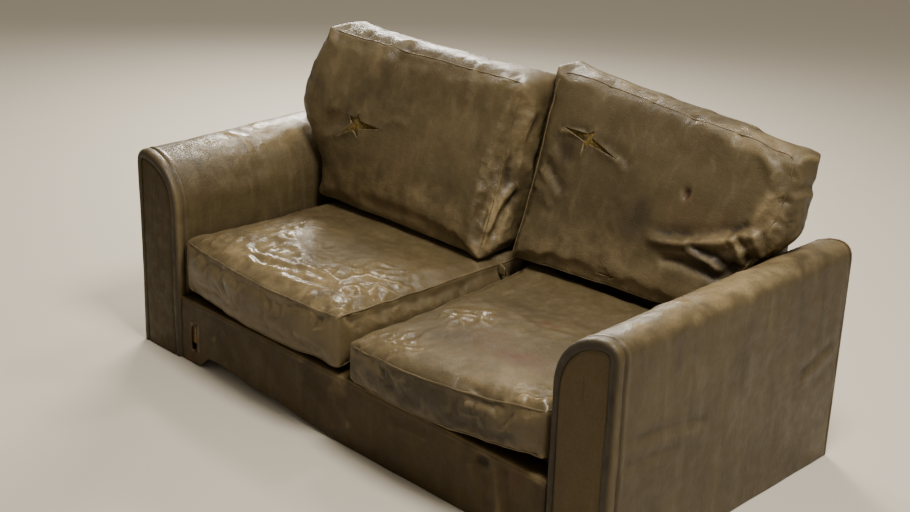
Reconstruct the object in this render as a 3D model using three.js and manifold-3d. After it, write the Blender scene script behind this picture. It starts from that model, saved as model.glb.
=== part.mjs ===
// A worn two-seat leather sofa: a hardwood frame with zigzag springs, padded arms, and four loose cushions
// that have slumped out of line. Millimetres. Seen from the front, +X is to the right, +Y goes back, +Z up.
import * as THREE from 'three';
import { mergeVertices } from 'three/addons/utils/BufferGeometryUtils.js';
import Module from 'manifold-3d';

const wasm = await Module();
wasm.setup();

// ---- driving dimensions ----

const OVERALL_WIDTH = 1812;
const ARM_DEPTH = 943;
const ARM_WIDTH = 186;
const ARM_HEIGHT = 612;
const ARM_OUTER_ROUND = 42;
const ARM_INNER_DROP = 150;
const BACK_HEIGHT = 780;
const SEAT_BOX_HEIGHT = 180;
const RAIL_DROP = 115;
const LEATHER = 4;
const ARM_PAD = 16;
const BACK_PAD = 12;
const BOARD = 22;
const FLOOR_CLEARANCE = 2;
const GLIDE_HEIGHT = 12;
const GAP = 0.3;

const HALF_WIDTH = OVERALL_WIDTH / 2;
const ARM_INNER_X = HALF_WIDTH - ARM_WIDTH;
const ARM_FRONT_Y = -ARM_DEPTH / 2;
const ARM_REAR_Y = ARM_DEPTH / 2;
const BACK_COVER_Y = ARM_REAR_Y - LEATHER;
const FRAME_X = ARM_INNER_X - 5;
const FRAME_BOTTOM = GLIDE_HEIGHT + GAP;
const RAIL_FRONT_Y = ARM_FRONT_Y + 16;
const BACK_RAIL_Y = 300;
const SIDES = [['left', -1], ['right', 1]];

// The inside back is raked: its leather face passes through this point and leans back with this slope.
const RAKE_START = { y: 310, z: 380 };
const RAKE_SLOPE = 0.275;

function rakeY(z) {
  return RAKE_START.y + RAKE_SLOPE * (z - RAKE_START.z);
}

// ---- materials ----

function material(color, roughness, metalness = 0) {
  return new THREE.MeshStandardMaterial({ color, roughness, metalness });
}

const leather = () => material('#5a4b2f', 0.45);
const facingLeather = () => material('#3f331f', 0.5);
const foam = () => material('#b08f45', 0.95);
const fibrePad = () => material('#b9b2a0', 0.95);
const hardwood = () => material('#9c7a4f', 0.7);
const springSteel = () => material('#6f6a62', 0.4, 0.9);
const wovenCloth = () => material('#3a3833', 0.95);
const glidePlastic = () => material('#2a2825', 0.5);
const zipTape = () => material('#4b4232', 0.7);

// ---- helpers ----

const sofa = new THREE.Group();

function addPart(name, geometry, partMaterial) {
  const mesh = new THREE.Mesh(geometry, partMaterial);
  mesh.name = name;
  sofa.add(mesh);
  return mesh;
}

function boxBetween(x, y, z) {
  const geometry = new THREE.BoxGeometry(x[1] - x[0], y[1] - y[0], z[1] - z[0]);
  geometry.translate((x[0] + x[1]) / 2, (y[0] + y[1]) / 2, (z[0] + z[1]) / 2);
  return geometry;
}

// The same span on either side of the sofa's middle plane.
function mirrored(span, side) {
  return side > 0 ? span : [-span[1], -span[0]];
}

// An outline drawn in X and Z, standing upright, with its front face at yFront.
function uprightPlate(outline, yFront, thickness) {
  const geometry = new THREE.ExtrudeGeometry(new THREE.Shape(outline), {
    depth: thickness,
    bevelEnabled: false,
  });
  geometry.rotateX(Math.PI / 2);
  geometry.translate(0, yFront + thickness, 0);
  return geometry;
}

// An outline drawn in Y and Z, pushed out along X from xStart to xEnd.
function sidePlate(outline, xStart, xEnd) {
  const geometry = new THREE.ExtrudeGeometry(new THREE.Shape(outline), {
    depth: xEnd - xStart,
    bevelEnabled: false,
  });
  geometry.rotateX(Math.PI / 2);
  geometry.rotateZ(Math.PI / 2);
  geometry.translate(xStart, 0, 0);
  return geometry;
}

function toSolid(geometry) {
  const bare = geometry.clone();
  bare.deleteAttribute('normal');
  bare.deleteAttribute('uv');
  const merged = mergeVertices(bare, 1e-4);
  return new wasm.Manifold(new wasm.Mesh({
    numProp: 3,
    vertProperties: new Float32Array(merged.attributes.position.array),
    triVerts: new Uint32Array(merged.index.array),
  }));
}

function toGeometry(solid) {
  const mesh = solid.getMesh();
  const geometry = new THREE.BufferGeometry();
  geometry.setAttribute('position', new THREE.BufferAttribute(mesh.vertProperties, 3));
  geometry.setIndex(new THREE.BufferAttribute(mesh.triVerts, 1));
  geometry.computeVertexNormals();
  return geometry;
}

function cut(geometry, ...tools) {
  let solid = toSolid(geometry);
  for (const tool of tools) {
    solid = solid.subtract(toSolid(tool));
  }
  return toGeometry(solid);
}

// ---- seat frame ----

const railZ = [SEAT_BOX_HEIGHT - RAIL_DROP, SEAT_BOX_HEIGHT];
const railSideX = [FRAME_X - BOARD, FRAME_X];
const innerRailX = FRAME_X - BOARD - GAP;

function addSeatFrame() {
  const railX = [-FRAME_X, FRAME_X];
  const frontRailY = [RAIL_FRONT_Y, RAIL_FRONT_Y + BOARD];
  const backRailY = [BACK_RAIL_Y, BACK_RAIL_Y + BOARD];
  addPart('front_rail', boxBetween(railX, frontRailY, railZ), hardwood());
  addPart('back_rail', boxBetween(railX, backRailY, railZ), hardwood());
  const railY = [RAIL_FRONT_Y + BOARD + GAP, BACK_RAIL_Y - GAP];
  for (const [label, side] of SIDES) {
    addPart(`side_rail_${label}`, boxBetween(mirrored(railSideX, side), railY, railZ), hardwood());
  }
  const centreZ = [railZ[0], railZ[1] - 35];
  addPart('centre_rail', boxBetween([-BOARD / 2, BOARD / 2], railY, centreZ), hardwood());
}

// Each block is a triangle seen from above, screwed into a corner of the seat box.
function addCornerBlocks() {
  const leg = 60;
  const corners = [
    ['front', RAIL_FRONT_Y + BOARD + GAP, 1],
    ['rear', BACK_RAIL_Y - GAP, -1],
  ];
  for (const [label, side] of SIDES) {
    for (const [end, yCorner, inward] of corners) {
      const xCorner = side * innerRailX;
      const outline = [
        new THREE.Vector2(xCorner, yCorner),
        new THREE.Vector2(xCorner - side * leg, yCorner),
        new THREE.Vector2(xCorner, yCorner + inward * leg),
      ];
      const block = new THREE.ExtrudeGeometry(new THREE.Shape(outline), { depth: 60, bevelEnabled: false });
      block.translate(0, 0, railZ[0] + 5);
      addPart(`corner_block_${end}_${label}`, block, hardwood());
    }
  }
}

// ---- springs and deck ----

const SPRING_COUNT = 8;
const SPRING_WIRE = 3.8;
const SPRING_WIDTH = 46;
const SPRING_LOOPS = 7;
const SPRING_Z = SEAT_BOX_HEIGHT + GAP + SPRING_WIRE / 2;
const DECK_CLOTH = 1.6;
const DECK_PAD = 11;

// A zigzag spring: the wire swings from side to side while it runs from the front rail to the back rail.
class ZigzagCurve extends THREE.Curve {
  constructor(x, yStart, yEnd) {
    super();
    this.x = x;
    this.yStart = yStart;
    this.yEnd = yEnd;
  }

  getPoint(t, target = new THREE.Vector3()) {
    const swing = Math.sin(t * SPRING_LOOPS * 2 * Math.PI) * SPRING_WIDTH / 2;
    return target.set(this.x + swing, this.yStart + (this.yEnd - this.yStart) * t, SPRING_Z);
  }
}

function wireSection(diameter, sides) {
  const points = [];
  for (let i = 0; i < sides; i += 1) {
    const angle = (i / sides) * 2 * Math.PI;
    points.push(new THREE.Vector2(Math.cos(angle) * diameter / 2, Math.sin(angle) * diameter / 2));
  }
  return new THREE.Shape(points);
}

function addSprings() {
  const pitch = (2 * innerRailX) / SPRING_COUNT;
  for (let i = 0; i < SPRING_COUNT; i += 1) {
    const x = -innerRailX + pitch * (i + 0.5);
    const wire = new THREE.ExtrudeGeometry(wireSection(SPRING_WIRE, 4), {
      steps: SPRING_LOOPS * 6,
      extrudePath: new ZigzagCurve(x, RAIL_FRONT_Y + 8, BACK_RAIL_Y + BOARD - 8),
    });
    addPart(`seat_spring_${i + 1}`, wire, springSteel());
  }
}

const deckBottom = SPRING_Z + SPRING_WIRE / 2 + GAP;
const deckTop = deckBottom + DECK_CLOTH + GAP + DECK_PAD;

function addDeck() {
  const x = [-FRAME_X, FRAME_X];
  const y = [RAIL_FRONT_Y, BACK_RAIL_Y - 60];
  addPart('seat_deck_cloth', boxBetween(x, y, [deckBottom, deckBottom + DECK_CLOTH]), wovenCloth());
  addPart('seat_deck_pad', boxBetween(x, y, [deckTop - DECK_PAD, deckTop]), fibrePad());
  const under = [railZ[0] - GAP - DECK_CLOTH, railZ[0] - GAP];
  addPart('dust_cover', boxBetween(x, [RAIL_FRONT_Y, BACK_RAIL_Y + BOARD], under), wovenCloth());
}

// ---- arms ----

// The outline of an arm's end: up the outer wall, over the small outer round, down the long inner round.
function armCurve(side, inset, bottom) {
  const outer = HALF_WIDTH - inset;
  const inner = ARM_INNER_X + inset;
  const top = ARM_HEIGHT - inset;
  const curve = new THREE.Path();
  curve.moveTo(outer, bottom);
  curve.lineTo(outer, top - ARM_OUTER_ROUND);
  curve.quadraticCurveTo(outer, top, outer - ARM_OUTER_ROUND, top);
  curve.bezierCurveTo(outer - 80, top, inner + 8, top - 30, inner, top - ARM_INNER_DROP);
  curve.lineTo(inner, bottom);
  return curve.getPoints(5).map((point) => new THREE.Vector2(point.x * side, point.y));
}

function archBetween(side, outerInset, innerInset, bottom) {
  return [...armCurve(side, outerInset, bottom), ...armCurve(side, innerInset, bottom).reverse()];
}

const PAD_INSET = LEATHER + GAP;
const ARM_FRAME_INSET = PAD_INSET + ARM_PAD + GAP;
const FACING_SET_IN = 7;
const ARM_COVER_REAR_Y = BACK_COVER_Y - GAP;
const ARM_BOARD_FRONT_Y = ARM_FRONT_Y + FACING_SET_IN + LEATHER + GAP;

function addArm(label, side) {
  const coverDepth = ARM_COVER_REAR_Y - ARM_FRONT_Y;
  const cover = uprightPlate(archBetween(side, 0, LEATHER, FLOOR_CLEARANCE), ARM_FRONT_Y, coverDepth);
  addPart(`arm_cover_${label}`, cover, leather());

  const facingOutline = armCurve(side, PAD_INSET, FLOOR_CLEARANCE);
  const facing = uprightPlate(facingOutline, ARM_FRONT_Y + FACING_SET_IN, LEATHER);
  addPart(`arm_facing_${label}`, facing, facingLeather());

  const padBottom = ARM_HEIGHT / 3;
  const padDepth = ARM_COVER_REAR_Y - ARM_BOARD_FRONT_Y;
  const padOutline = archBetween(side, PAD_INSET, PAD_INSET + ARM_PAD, padBottom);
  const pad = uprightPlate(padOutline, ARM_BOARD_FRONT_Y, padDepth);
  addPart(`arm_padding_${label}`, pad, fibrePad());

  const board = uprightPlate(armCurve(side, ARM_FRAME_INSET, FRAME_BOTTOM), ARM_BOARD_FRONT_Y, BOARD);
  addPart(`arm_front_board_${label}`, board, hardwood());

  const armMiddle = (HALF_WIDTH + ARM_INNER_X) / 2;
  const postWidth = 45;
  const postX = mirrored([armMiddle - postWidth / 2, armMiddle + postWidth / 2], side);
  const postTop = ARM_HEIGHT - 110;
  const postY = [ARM_COVER_REAR_Y - postWidth, ARM_COVER_REAR_Y];
  addPart(`arm_rear_post_${label}`, boxBetween(postX, postY, [FRAME_BOTTOM, postTop]), hardwood());

  const railWidth = 80;
  const railX = mirrored([armMiddle - railWidth / 2, armMiddle + railWidth / 2], side);
  const railY = [ARM_BOARD_FRONT_Y + BOARD + GAP, ARM_COVER_REAR_Y];
  const topRailZ = [postTop + GAP, postTop + GAP + BOARD];
  addPart(`arm_top_rail_${label}`, boxBetween(railX, railY, topRailZ), hardwood());
}

function addGlides() {
  const inFromEnd = 40;
  const ends = [
    ['front', ARM_BOARD_FRONT_Y + BOARD / 2],
    ['rear', ARM_COVER_REAR_Y - inFromEnd / 2],
  ];
  for (const [label, side] of SIDES) {
    for (const [end, y] of ends) {
      const glide = new THREE.CylinderGeometry(10, 9, GLIDE_HEIGHT, 16);
      glide.rotateX(Math.PI / 2);
      glide.translate(side * (HALF_WIDTH + ARM_INNER_X) / 2, y, GLIDE_HEIGHT / 2);
      addPart(`glide_${end}_${label}`, glide, glidePlastic());
    }
  }
}

// ---- front border ----

const HEM_LIFT = 38;
const BORDER_LAP = 65;
const BORDER_Y = ARM_FRONT_Y + 6;

// The border hangs loose: its hem is lifted at the left end and reaches the floor from the middle on.
function addFrontBorder() {
  const right = ARM_INNER_X - 2;
  const left = -ARM_INNER_X + 2;
  const top = deckTop + GAP + LEATHER;
  const front = [
    new THREE.Vector2(left, HEM_LIFT),
    new THREE.Vector2(left + 190, HEM_LIFT),
    new THREE.Vector2(-180, FLOOR_CLEARANCE + 8),
    new THREE.Vector2(0, FLOOR_CLEARANCE),
    new THREE.Vector2(right, FLOOR_CLEARANCE),
    new THREE.Vector2(right, top),
    new THREE.Vector2(left, top),
  ];
  const face = uprightPlate(front, BORDER_Y, LEATHER);
  const lap = boxBetween([left, right], [BORDER_Y + 1, BORDER_Y + BORDER_LAP], [top - LEATHER, top]);
  addPart('front_border_cover', toGeometry(toSolid(face).add(toSolid(lap))), facingLeather());
}

// ---- back ----

const POST_OFFSET = LEATHER + BACK_PAD + 3 * GAP + 2;
const BACK_TOP = BACK_HEIGHT - LEATHER - GAP;
const INSIDE_BACK_BOTTOM = SEAT_BOX_HEIGHT + SPRING_WIRE + 2;
const SIDE_COVER_BOTTOM = ARM_HEIGHT / 2;

function rakedStrip(offset, thickness, zBottom, zTop) {
  return [
    new THREE.Vector2(rakeY(zBottom) + offset, zBottom),
    new THREE.Vector2(rakeY(zBottom) + offset + thickness, zBottom),
    new THREE.Vector2(rakeY(zTop) + offset + thickness, zTop),
    new THREE.Vector2(rakeY(zTop) + offset, zTop),
  ];
}

function addBack() {
  const postRear = BACK_COVER_Y - GAP;
  const postOutline = [
    new THREE.Vector2(BACK_RAIL_Y + BOARD + GAP, railZ[0]),
    new THREE.Vector2(postRear, railZ[0]),
    new THREE.Vector2(postRear, BACK_TOP),
    new THREE.Vector2(rakeY(BACK_TOP) + POST_OFFSET, BACK_TOP),
    new THREE.Vector2(rakeY(SEAT_BOX_HEIGHT + 60) + POST_OFFSET, SEAT_BOX_HEIGHT + 60),
    new THREE.Vector2(BACK_RAIL_Y + BOARD + GAP, SEAT_BOX_HEIGHT),
  ];
  const sideCoverX = FRAME_X - LEATHER;
  const postX = [sideCoverX - GAP - 35, sideCoverX - GAP];
  for (const [label, side] of SIDES) {
    addPart(`back_post_${label}`, sidePlate(postOutline, ...mirrored(postX, side)), hardwood());
  }

  const innerX = postX[0] - GAP;
  const topRailZ = [BACK_TOP - 45, BACK_TOP];
  const topRailY = [rakeY(BACK_TOP) + POST_OFFSET, postRear];
  addPart('back_top_rail', boxBetween([-innerX, innerX], topRailY, topRailZ), hardwood());

  const strapHeight = 50;
  const strapThickness = 2;
  const strapZ = [330, 460, 590];
  strapZ.forEach((z, index) => {
    const strap = rakedStrip(POST_OFFSET - strapThickness - GAP, strapThickness, z, z + strapHeight);
    addPart(`back_webbing_${index + 1}`, sidePlate(strap, -postX[1], postX[1]), wovenCloth());
  });

  const pad = rakedStrip(LEATHER + GAP, BACK_PAD, INSIDE_BACK_BOTTOM, BACK_TOP);
  addPart('inside_back_padding', sidePlate(pad, -postX[1], postX[1]), fibrePad());

  const insideCover = [
    new THREE.Vector2(rakeY(INSIDE_BACK_BOTTOM), INSIDE_BACK_BOTTOM),
    new THREE.Vector2(rakeY(INSIDE_BACK_BOTTOM) + LEATHER, INSIDE_BACK_BOTTOM),
    new THREE.Vector2(rakeY(BACK_HEIGHT - LEATHER) + LEATHER, BACK_HEIGHT - LEATHER),
    new THREE.Vector2(BACK_COVER_Y - GAP, BACK_HEIGHT - LEATHER),
    new THREE.Vector2(BACK_COVER_Y - GAP, BACK_HEIGHT),
    new THREE.Vector2(rakeY(BACK_HEIGHT), BACK_HEIGHT),
  ];
  addPart('inside_back_cover', sidePlate(insideCover, -FRAME_X, FRAME_X), leather());

  const sideOutline = [
    new THREE.Vector2(rakeY(SIDE_COVER_BOTTOM) + LEATHER + GAP, SIDE_COVER_BOTTOM),
    new THREE.Vector2(BACK_COVER_Y - GAP, SIDE_COVER_BOTTOM),
    new THREE.Vector2(BACK_COVER_Y - GAP, BACK_TOP),
    new THREE.Vector2(rakeY(BACK_TOP) + LEATHER + GAP, BACK_TOP),
  ];
  for (const [label, side] of SIDES) {
    const span = mirrored([sideCoverX, FRAME_X], side);
    addPart(`back_side_cover_${label}`, sidePlate(sideOutline, ...span), leather());
  }

  addPart('outside_back_cover', uprightPlate(outsideBackOutline(), BACK_COVER_Y, LEATHER), leather());
}

// The outside back covers the rear ends of both arms and the back between them.
function outsideBackOutline() {
  const rightArm = armCurve(1, 0, FLOOR_CLEARANCE).filter((point) => point.x > ARM_INNER_X);
  const leftArm = rightArm.map((point) => new THREE.Vector2(-point.x, point.y)).reverse();
  const shoulderZ = rightArm[rightArm.length - 1].y;
  return [
    ...rightArm,
    new THREE.Vector2(FRAME_X, shoulderZ),
    new THREE.Vector2(FRAME_X, BACK_HEIGHT),
    new THREE.Vector2(-FRAME_X, BACK_HEIGHT),
    new THREE.Vector2(-FRAME_X, shoulderZ),
    ...leftArm,
  ];
}

// ---- cushions ----

// How far up a cushion's end its bulge over the arm lies, and how far it reaches, on a scale from -1 to 1.
const BULGE_MIDDLE = 0.35;
const BULGE_REACH = 0.8;

// A cushion is a box whose grid is laid between four corners of its middle surface. The corners go round as
// seen from outside: [near left, near right, far right, far left]. Its thickness runs along `across`, may
// differ at each corner, and crowns outwards between the seams. The near edge may bow out, and the end next
// to the arm may bulge above it.
function cushion(spec, inset) {
  const grid = spec.grid;
  const geometry = new THREE.BoxGeometry(2, 2, 2, grid[0], grid[1], grid[2]);
  const position = geometry.attributes.position;
  const corners = insetCorners(spec.corners, inset);
  for (let i = 0; i < position.count; i += 1) {
    const u = position.getX(i);
    const v = position.getY(i);
    const w = position.getZ(i);
    const weights = [
      (1 - u) * (1 - v) / 4,
      (1 + u) * (1 - v) / 4,
      (1 + u) * (1 + v) / 4,
      (1 - u) * (1 + v) / 4,
    ];
    const point = new THREE.Vector3();
    let thickness = 0;
    corners.forEach((corner, k) => {
      point.addScaledVector(corner, weights[k]);
      thickness += weights[k] * spec.thickness[k];
    });
    const crown = (w > 0 ? spec.crownOut : spec.crownIn) * spec.swell(u, v);
    const half = thickness / 2 - inset + crown;
    point.addScaledVector(spec.across, w * half);
    const nearEdge = Math.max(0, -v);
    point.addScaledVector(spec.nearBow, nearEdge * nearEdge * (1 - u * u));
    const armEdge = Math.max(0, spec.armSide * u);
    const fromBulge = (v - BULGE_MIDDLE) / BULGE_REACH;
    const bulge = Math.max(0, 1 - fromBulge * fromBulge);
    point.x += spec.armSide * spec.armBulge * armEdge * armEdge * bulge;
    position.setXYZ(i, point.x, point.y, point.z);
  }
  return geometry;
}

function insetCorners(corners, inset) {
  return corners.map((corner, k) => {
    const before = corners[(k + 3) % 4].clone().sub(corner).normalize();
    const after = corners[(k + 1) % 4].clone().sub(corner).normalize();
    return corner.clone().addScaledVector(before, inset).addScaledVector(after, inset);
  });
}

function evenSwell(u, v) {
  return (1 - u * u) * (1 - v * v);
}

// A seat crowns only in front of the back cushion, which presses the rest of it flat.
function seatSwell(u, v) {
  const pressedFrom = 0.3;
  if (v >= pressedFrom) {
    return 0;
  }
  const middle = (pressedFrom - 1) / 2;
  const reach = (pressedFrom + 1) / 2;
  const along = (v - middle) / reach;
  return (1 - u * u) * (1 - along * along);
}

const SEAT_REAR_Y = BACK_RAIL_Y - 65;
const UP = new THREE.Vector3(0, 0, 1);
const FORWARD = new THREE.Vector3(0, -1, 0);

const seatSpecs = {
  left: {
    corners: [
      new THREE.Vector3(-715, -452, 296),
      new THREE.Vector3(5, -487, 303),
      new THREE.Vector3(9, SEAT_REAR_Y, 292),
      new THREE.Vector3(-715, SEAT_REAR_Y, 292),
    ],
    thickness: [165, 160, 165, 165],
    nearBow: new THREE.Vector3(0, -32, 0),
    armBulge: 0,
    crownOut: 34,
    crownIn: 8,
  },
  right: {
    corners: [
      new THREE.Vector3(36, -488, 264),
      new THREE.Vector3(712, -462, 312),
      new THREE.Vector3(714, SEAT_REAR_Y, 292),
      new THREE.Vector3(38, SEAT_REAR_Y, 290),
    ],
    thickness: [118, 138, 165, 160],
    nearBow: new THREE.Vector3(-8, -46, 0),
    armBulge: 0,
    crownOut: 38,
    crownIn: 0,
  },
};

const backSpecs = {
  left: {
    corners: [
      new THREE.Vector3(-712, 145, 386),
      new THREE.Vector3(-12, 152, 388),
      new THREE.Vector3(-16, 300, 884),
      new THREE.Vector3(-718, 205, 915),
    ],
    thickness: [200, 215, 170, 150],
    nearBow: new THREE.Vector3(0, 0, 0),
    armBulge: 44,
    crownOut: 26,
    crownIn: 12,
  },
  right: {
    corners: [
      new THREE.Vector3(24, 205, 386),
      new THREE.Vector3(704, 242, 388),
      new THREE.Vector3(786, 379, 866),
      new THREE.Vector3(24, 389, 915),
    ],
    thickness: [174, 114, 118, 118],
    nearBow: new THREE.Vector3(0, 0, 0),
    armBulge: 40,
    crownOut: 24,
    crownIn: 2,
  },
};

const ZIP_LENGTH = 480;
const ZIP_WIDTH = 12;

// A strip in the cover's border: the slot is cut wider than the zip by one gap on each side.
function seatZip(spec, room) {
  const middleX = (spec.corners[2].x + spec.corners[3].x) / 2;
  const z = spec.corners[2].z;
  const x = [middleX - ZIP_LENGTH / 2 - room, middleX + ZIP_LENGTH / 2 + room];
  const y = [SEAT_REAR_Y - LEATHER + GAP - 2 * room, SEAT_REAR_Y + 2 * room];
  return boxBetween(x, y, [z - ZIP_WIDTH / 2 - room, z + ZIP_WIDTH / 2 + room]);
}

function backZip(spec, room) {
  const middleX = (spec.corners[0].x + spec.corners[1].x) / 2;
  const y = (spec.corners[0].y + spec.corners[1].y) / 2;
  const bottom = spec.corners[0].z;
  const x = [middleX - ZIP_LENGTH / 2 - room, middleX + ZIP_LENGTH / 2 + room];
  const z = [bottom + 1.2 - 10 * room, bottom + LEATHER - 0.4 + 2 * room];
  return boxBetween(x, [y - ZIP_WIDTH / 2 - room, y + ZIP_WIDTH / 2 + room], z);
}

// A star tear: arms of different length around a ragged hole, pushed back through the front wall only.
function starTear(x, y, z, arms) {
  const throat = 11;
  const reach = 70;
  const outline = [];
  arms.forEach(([angle, length], k) => {
    const next = arms[(k + 1) % arms.length][0] + (k + 1 === arms.length ? 360 : 0);
    const tip = THREE.MathUtils.degToRad(angle);
    const valley = THREE.MathUtils.degToRad((angle + next) / 2);
    outline.push(new THREE.Vector2(x + Math.cos(tip) * length, z + Math.sin(tip) * length));
    outline.push(new THREE.Vector2(x + Math.cos(valley) * throat, z + Math.sin(valley) * throat));
  });
  return uprightPlate(outline, y - reach, reach);
}

const tears = {
  left: [
    starTear(-547, 120, 664, [[5, 95], [80, 26], [150, 30], [218, 84], [290, 34]]),
  ],
  right: [
    starTear(167, 320, 750, [[-14, 118], [60, 24], [172, 96], [262, 40]]),
    starTear(365, 210, 430, [[8, 40], [90, 10], [178, 42], [270, 9]]),
  ],
};

function addCushion(name, spec, zip, openings, filling) {
  const outer = cushion(spec, 0);
  const inner = cushion(spec, LEATHER);
  const cover = cut(outer, inner, zip(spec, GAP), ...openings);
  addPart(`${name}_cover`, cover, leather());
  addPart(`${name}_${filling}`, cushion(spec, LEATHER + GAP), foam());
  addPart(`${name}_zip`, zip(spec, 0), zipTape());
}

function addCushions() {
  for (const [label, armSide] of SIDES) {
    const seat = { ...seatSpecs[label], armSide, across: UP, swell: seatSwell, grid: [8, 8, 2] };
    addCushion(`seat_cushion_${label}`, seat, seatZip, [], 'foam');
    const back = { ...backSpecs[label], armSide, across: FORWARD, swell: evenSwell, grid: [8, 8, 2] };
    addCushion(`back_cushion_${label}`, back, backZip, tears[label], 'filling');
  }
}

// ---- assembly ----

addSeatFrame();
addCornerBlocks();
addSprings();
addDeck();
for (const [label, side] of SIDES) {
  addArm(label, side);
}
addGlides();
addFrontBorder();
addBack();
addCushions();

// The origin is on the floor under the middle of everything.
const bounds = new THREE.Box3().setFromObject(sofa, true);
sofa.position.x = -(bounds.min.x + bounds.max.x) / 2;
sofa.position.y = -(bounds.min.y + bounds.max.y) / 2;
sofa.updateMatrixWorld(true);

export default sofa;
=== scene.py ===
import math
import bmesh
import bpy
import numpy as np
from mathutils import Matrix, Vector, noise
from mathutils.bvhtree import BVHTree


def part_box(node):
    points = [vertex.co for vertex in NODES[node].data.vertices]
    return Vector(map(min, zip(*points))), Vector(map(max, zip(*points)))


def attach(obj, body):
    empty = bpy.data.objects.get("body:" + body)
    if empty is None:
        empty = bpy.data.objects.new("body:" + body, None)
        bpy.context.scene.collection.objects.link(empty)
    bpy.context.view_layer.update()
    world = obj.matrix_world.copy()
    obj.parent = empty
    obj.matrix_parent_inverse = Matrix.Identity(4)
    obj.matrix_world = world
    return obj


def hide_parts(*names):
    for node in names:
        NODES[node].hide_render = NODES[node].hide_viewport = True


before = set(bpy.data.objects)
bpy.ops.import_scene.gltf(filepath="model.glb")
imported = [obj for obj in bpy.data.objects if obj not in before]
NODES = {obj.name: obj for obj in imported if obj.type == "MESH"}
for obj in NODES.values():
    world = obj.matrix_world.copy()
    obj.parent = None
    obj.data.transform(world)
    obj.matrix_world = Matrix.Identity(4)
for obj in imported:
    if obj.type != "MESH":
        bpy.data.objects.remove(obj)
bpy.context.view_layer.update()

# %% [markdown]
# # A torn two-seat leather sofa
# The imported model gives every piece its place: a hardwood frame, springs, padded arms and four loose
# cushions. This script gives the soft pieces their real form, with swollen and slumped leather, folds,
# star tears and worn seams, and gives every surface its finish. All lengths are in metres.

SIDES = {"left": -1, "right": 1}

# %% [markdown]
# ## Camera, floor and light
# The camera stands at the sofa's front right and looks down at it. It is rolled by two degrees, as a
# hand-held camera is. The floor is plain and pale. Worn leather shows its form by its gloss, so besides the
# soft key lamp overhead there are small lamps behind the sofa, whose reflections break up over the seats.

# %% Camera
CAMERA_PLACE = Vector((2.778, -2.889, 2.045))
CAMERA_AZIMUTH = math.radians(44.2)
CAMERA_ELEVATION = math.radians(21.94)
CAMERA_ROLL = math.radians(1.98)
CAMERA_LENS = 61.88
CAMERA_SENSOR = 36.0


def add_camera():
    data = bpy.data.cameras.new("camera")
    data.lens = CAMERA_LENS
    data.sensor_width = CAMERA_SENSOR
    camera = bpy.data.objects.new("camera", data)
    bpy.context.scene.collection.objects.link(camera)
    back = Vector((
        math.sin(CAMERA_AZIMUTH) * math.cos(CAMERA_ELEVATION),
        -math.cos(CAMERA_AZIMUTH) * math.cos(CAMERA_ELEVATION),
        math.sin(CAMERA_ELEVATION),
    ))
    turn = back.to_track_quat("Z", "Y").to_matrix() @ Matrix.Rotation(CAMERA_ROLL, 3, "Z")
    camera.matrix_world = Matrix.Translation(CAMERA_PLACE) @ turn.to_4x4()
    bpy.context.scene.camera = camera


add_camera()

# %% Lamps and sky


def add_lamp(name, place, target, size, power, tint):
    data = bpy.data.lights.new(name, "AREA")
    data.shape = "RECTANGLE"
    data.size, data.size_y = size
    data.energy = power
    data.color = tint
    lamp = bpy.data.objects.new(name, data)
    bpy.context.scene.collection.objects.link(lamp)
    lamp.location = place
    lamp.rotation_euler = (Vector(place) - Vector(target)).to_track_quat("Z", "Y").to_euler()
    return lamp


SEAT_MIDDLE = (0.0, -0.1, 0.4)
WARM = (1.0, 0.95, 0.87)
# Each row is a name, a place, the point aimed at, the two sides in metres, and the power in watts.
LAMPS = (
    ("key_lamp", (1.35, -0.45, 3.4), SEAT_MIDDLE, (0.9, 0.9), 118),
    ("left_gloss_lamp", (-3.05, 2.0, 1.98), (-0.3, -0.3, 0.4), (0.45, 0.36), 38),
    ("middle_gloss_lamp", (-2.6, 2.05, 2.03), (0.0, -0.3, 0.4), (0.36, 0.28), 34),
    ("sparkle_lamp", (-1.32, 0.89, 2.13), (0.1, -0.42, 0.4), (0.22, 0.22), 11),
    ("right_gloss_lamp", (-2.2, 2.2, 2.0), (0.3, -0.3, 0.4), (0.45, 0.36), 50),
    ("top_lamp", (-0.4, 1.3, 3.0), (0.0, 0.0, 0.4), (0.5, 0.4), 18),
)
for lamp_row in LAMPS:
    add_lamp(*lamp_row, WARM)
print(len(LAMPS), "lamps")


SKY_COLOUR = (1.0, 0.9, 0.74, 1.0)
SKY_STRENGTH = 0.29


def set_sky():
    world = bpy.data.worlds.new("studio")
    bpy.context.scene.world = world
    world.use_nodes = True
    background = world.node_tree.nodes["Background"]
    background.inputs["Color"].default_value = SKY_COLOUR
    background.inputs["Strength"].default_value = SKY_STRENGTH


set_sky()

# %% [markdown]
# ## Materials
# The leather is pigmented hide: a colour coat over buffed grain. Where bodies rub it the coat turns glossy,
# then wears to pale scuffs. Creases, dents and faces that turn to the front are darkened with painted
# shade, and a few faces in shade are lightened with painted light. Each soft piece carries a painted
# attribute
# called Wear, which the shader reads: red is scuff and painted light, green grime and painted shade, blue
# stain and alpha gloss.

# %% Node and colour helpers


def srgb(code):
    channels = [int(code[i:i + 2], 16) / 255 for i in (1, 3, 5)]
    linear = [c / 12.92 if c <= 0.04045 else ((c + 0.055) / 1.055) ** 2.4 for c in channels]
    return (*linear, 1.0)


def add_node(tree, kind, settings=None, **links):
    """Adds one node. Settings are its properties, links feed its inputs: a socket or a plain value."""
    node = tree.nodes.new(kind)
    for key, value in (settings or {}).items():
        setattr(node, key, value)
    for key, value in links.items():
        socket = node.inputs[key.replace("_", " ")]
        if isinstance(value, bpy.types.NodeSocket):
            tree.links.new(value, socket)
        else:
            socket.default_value = value
    return node


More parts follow.
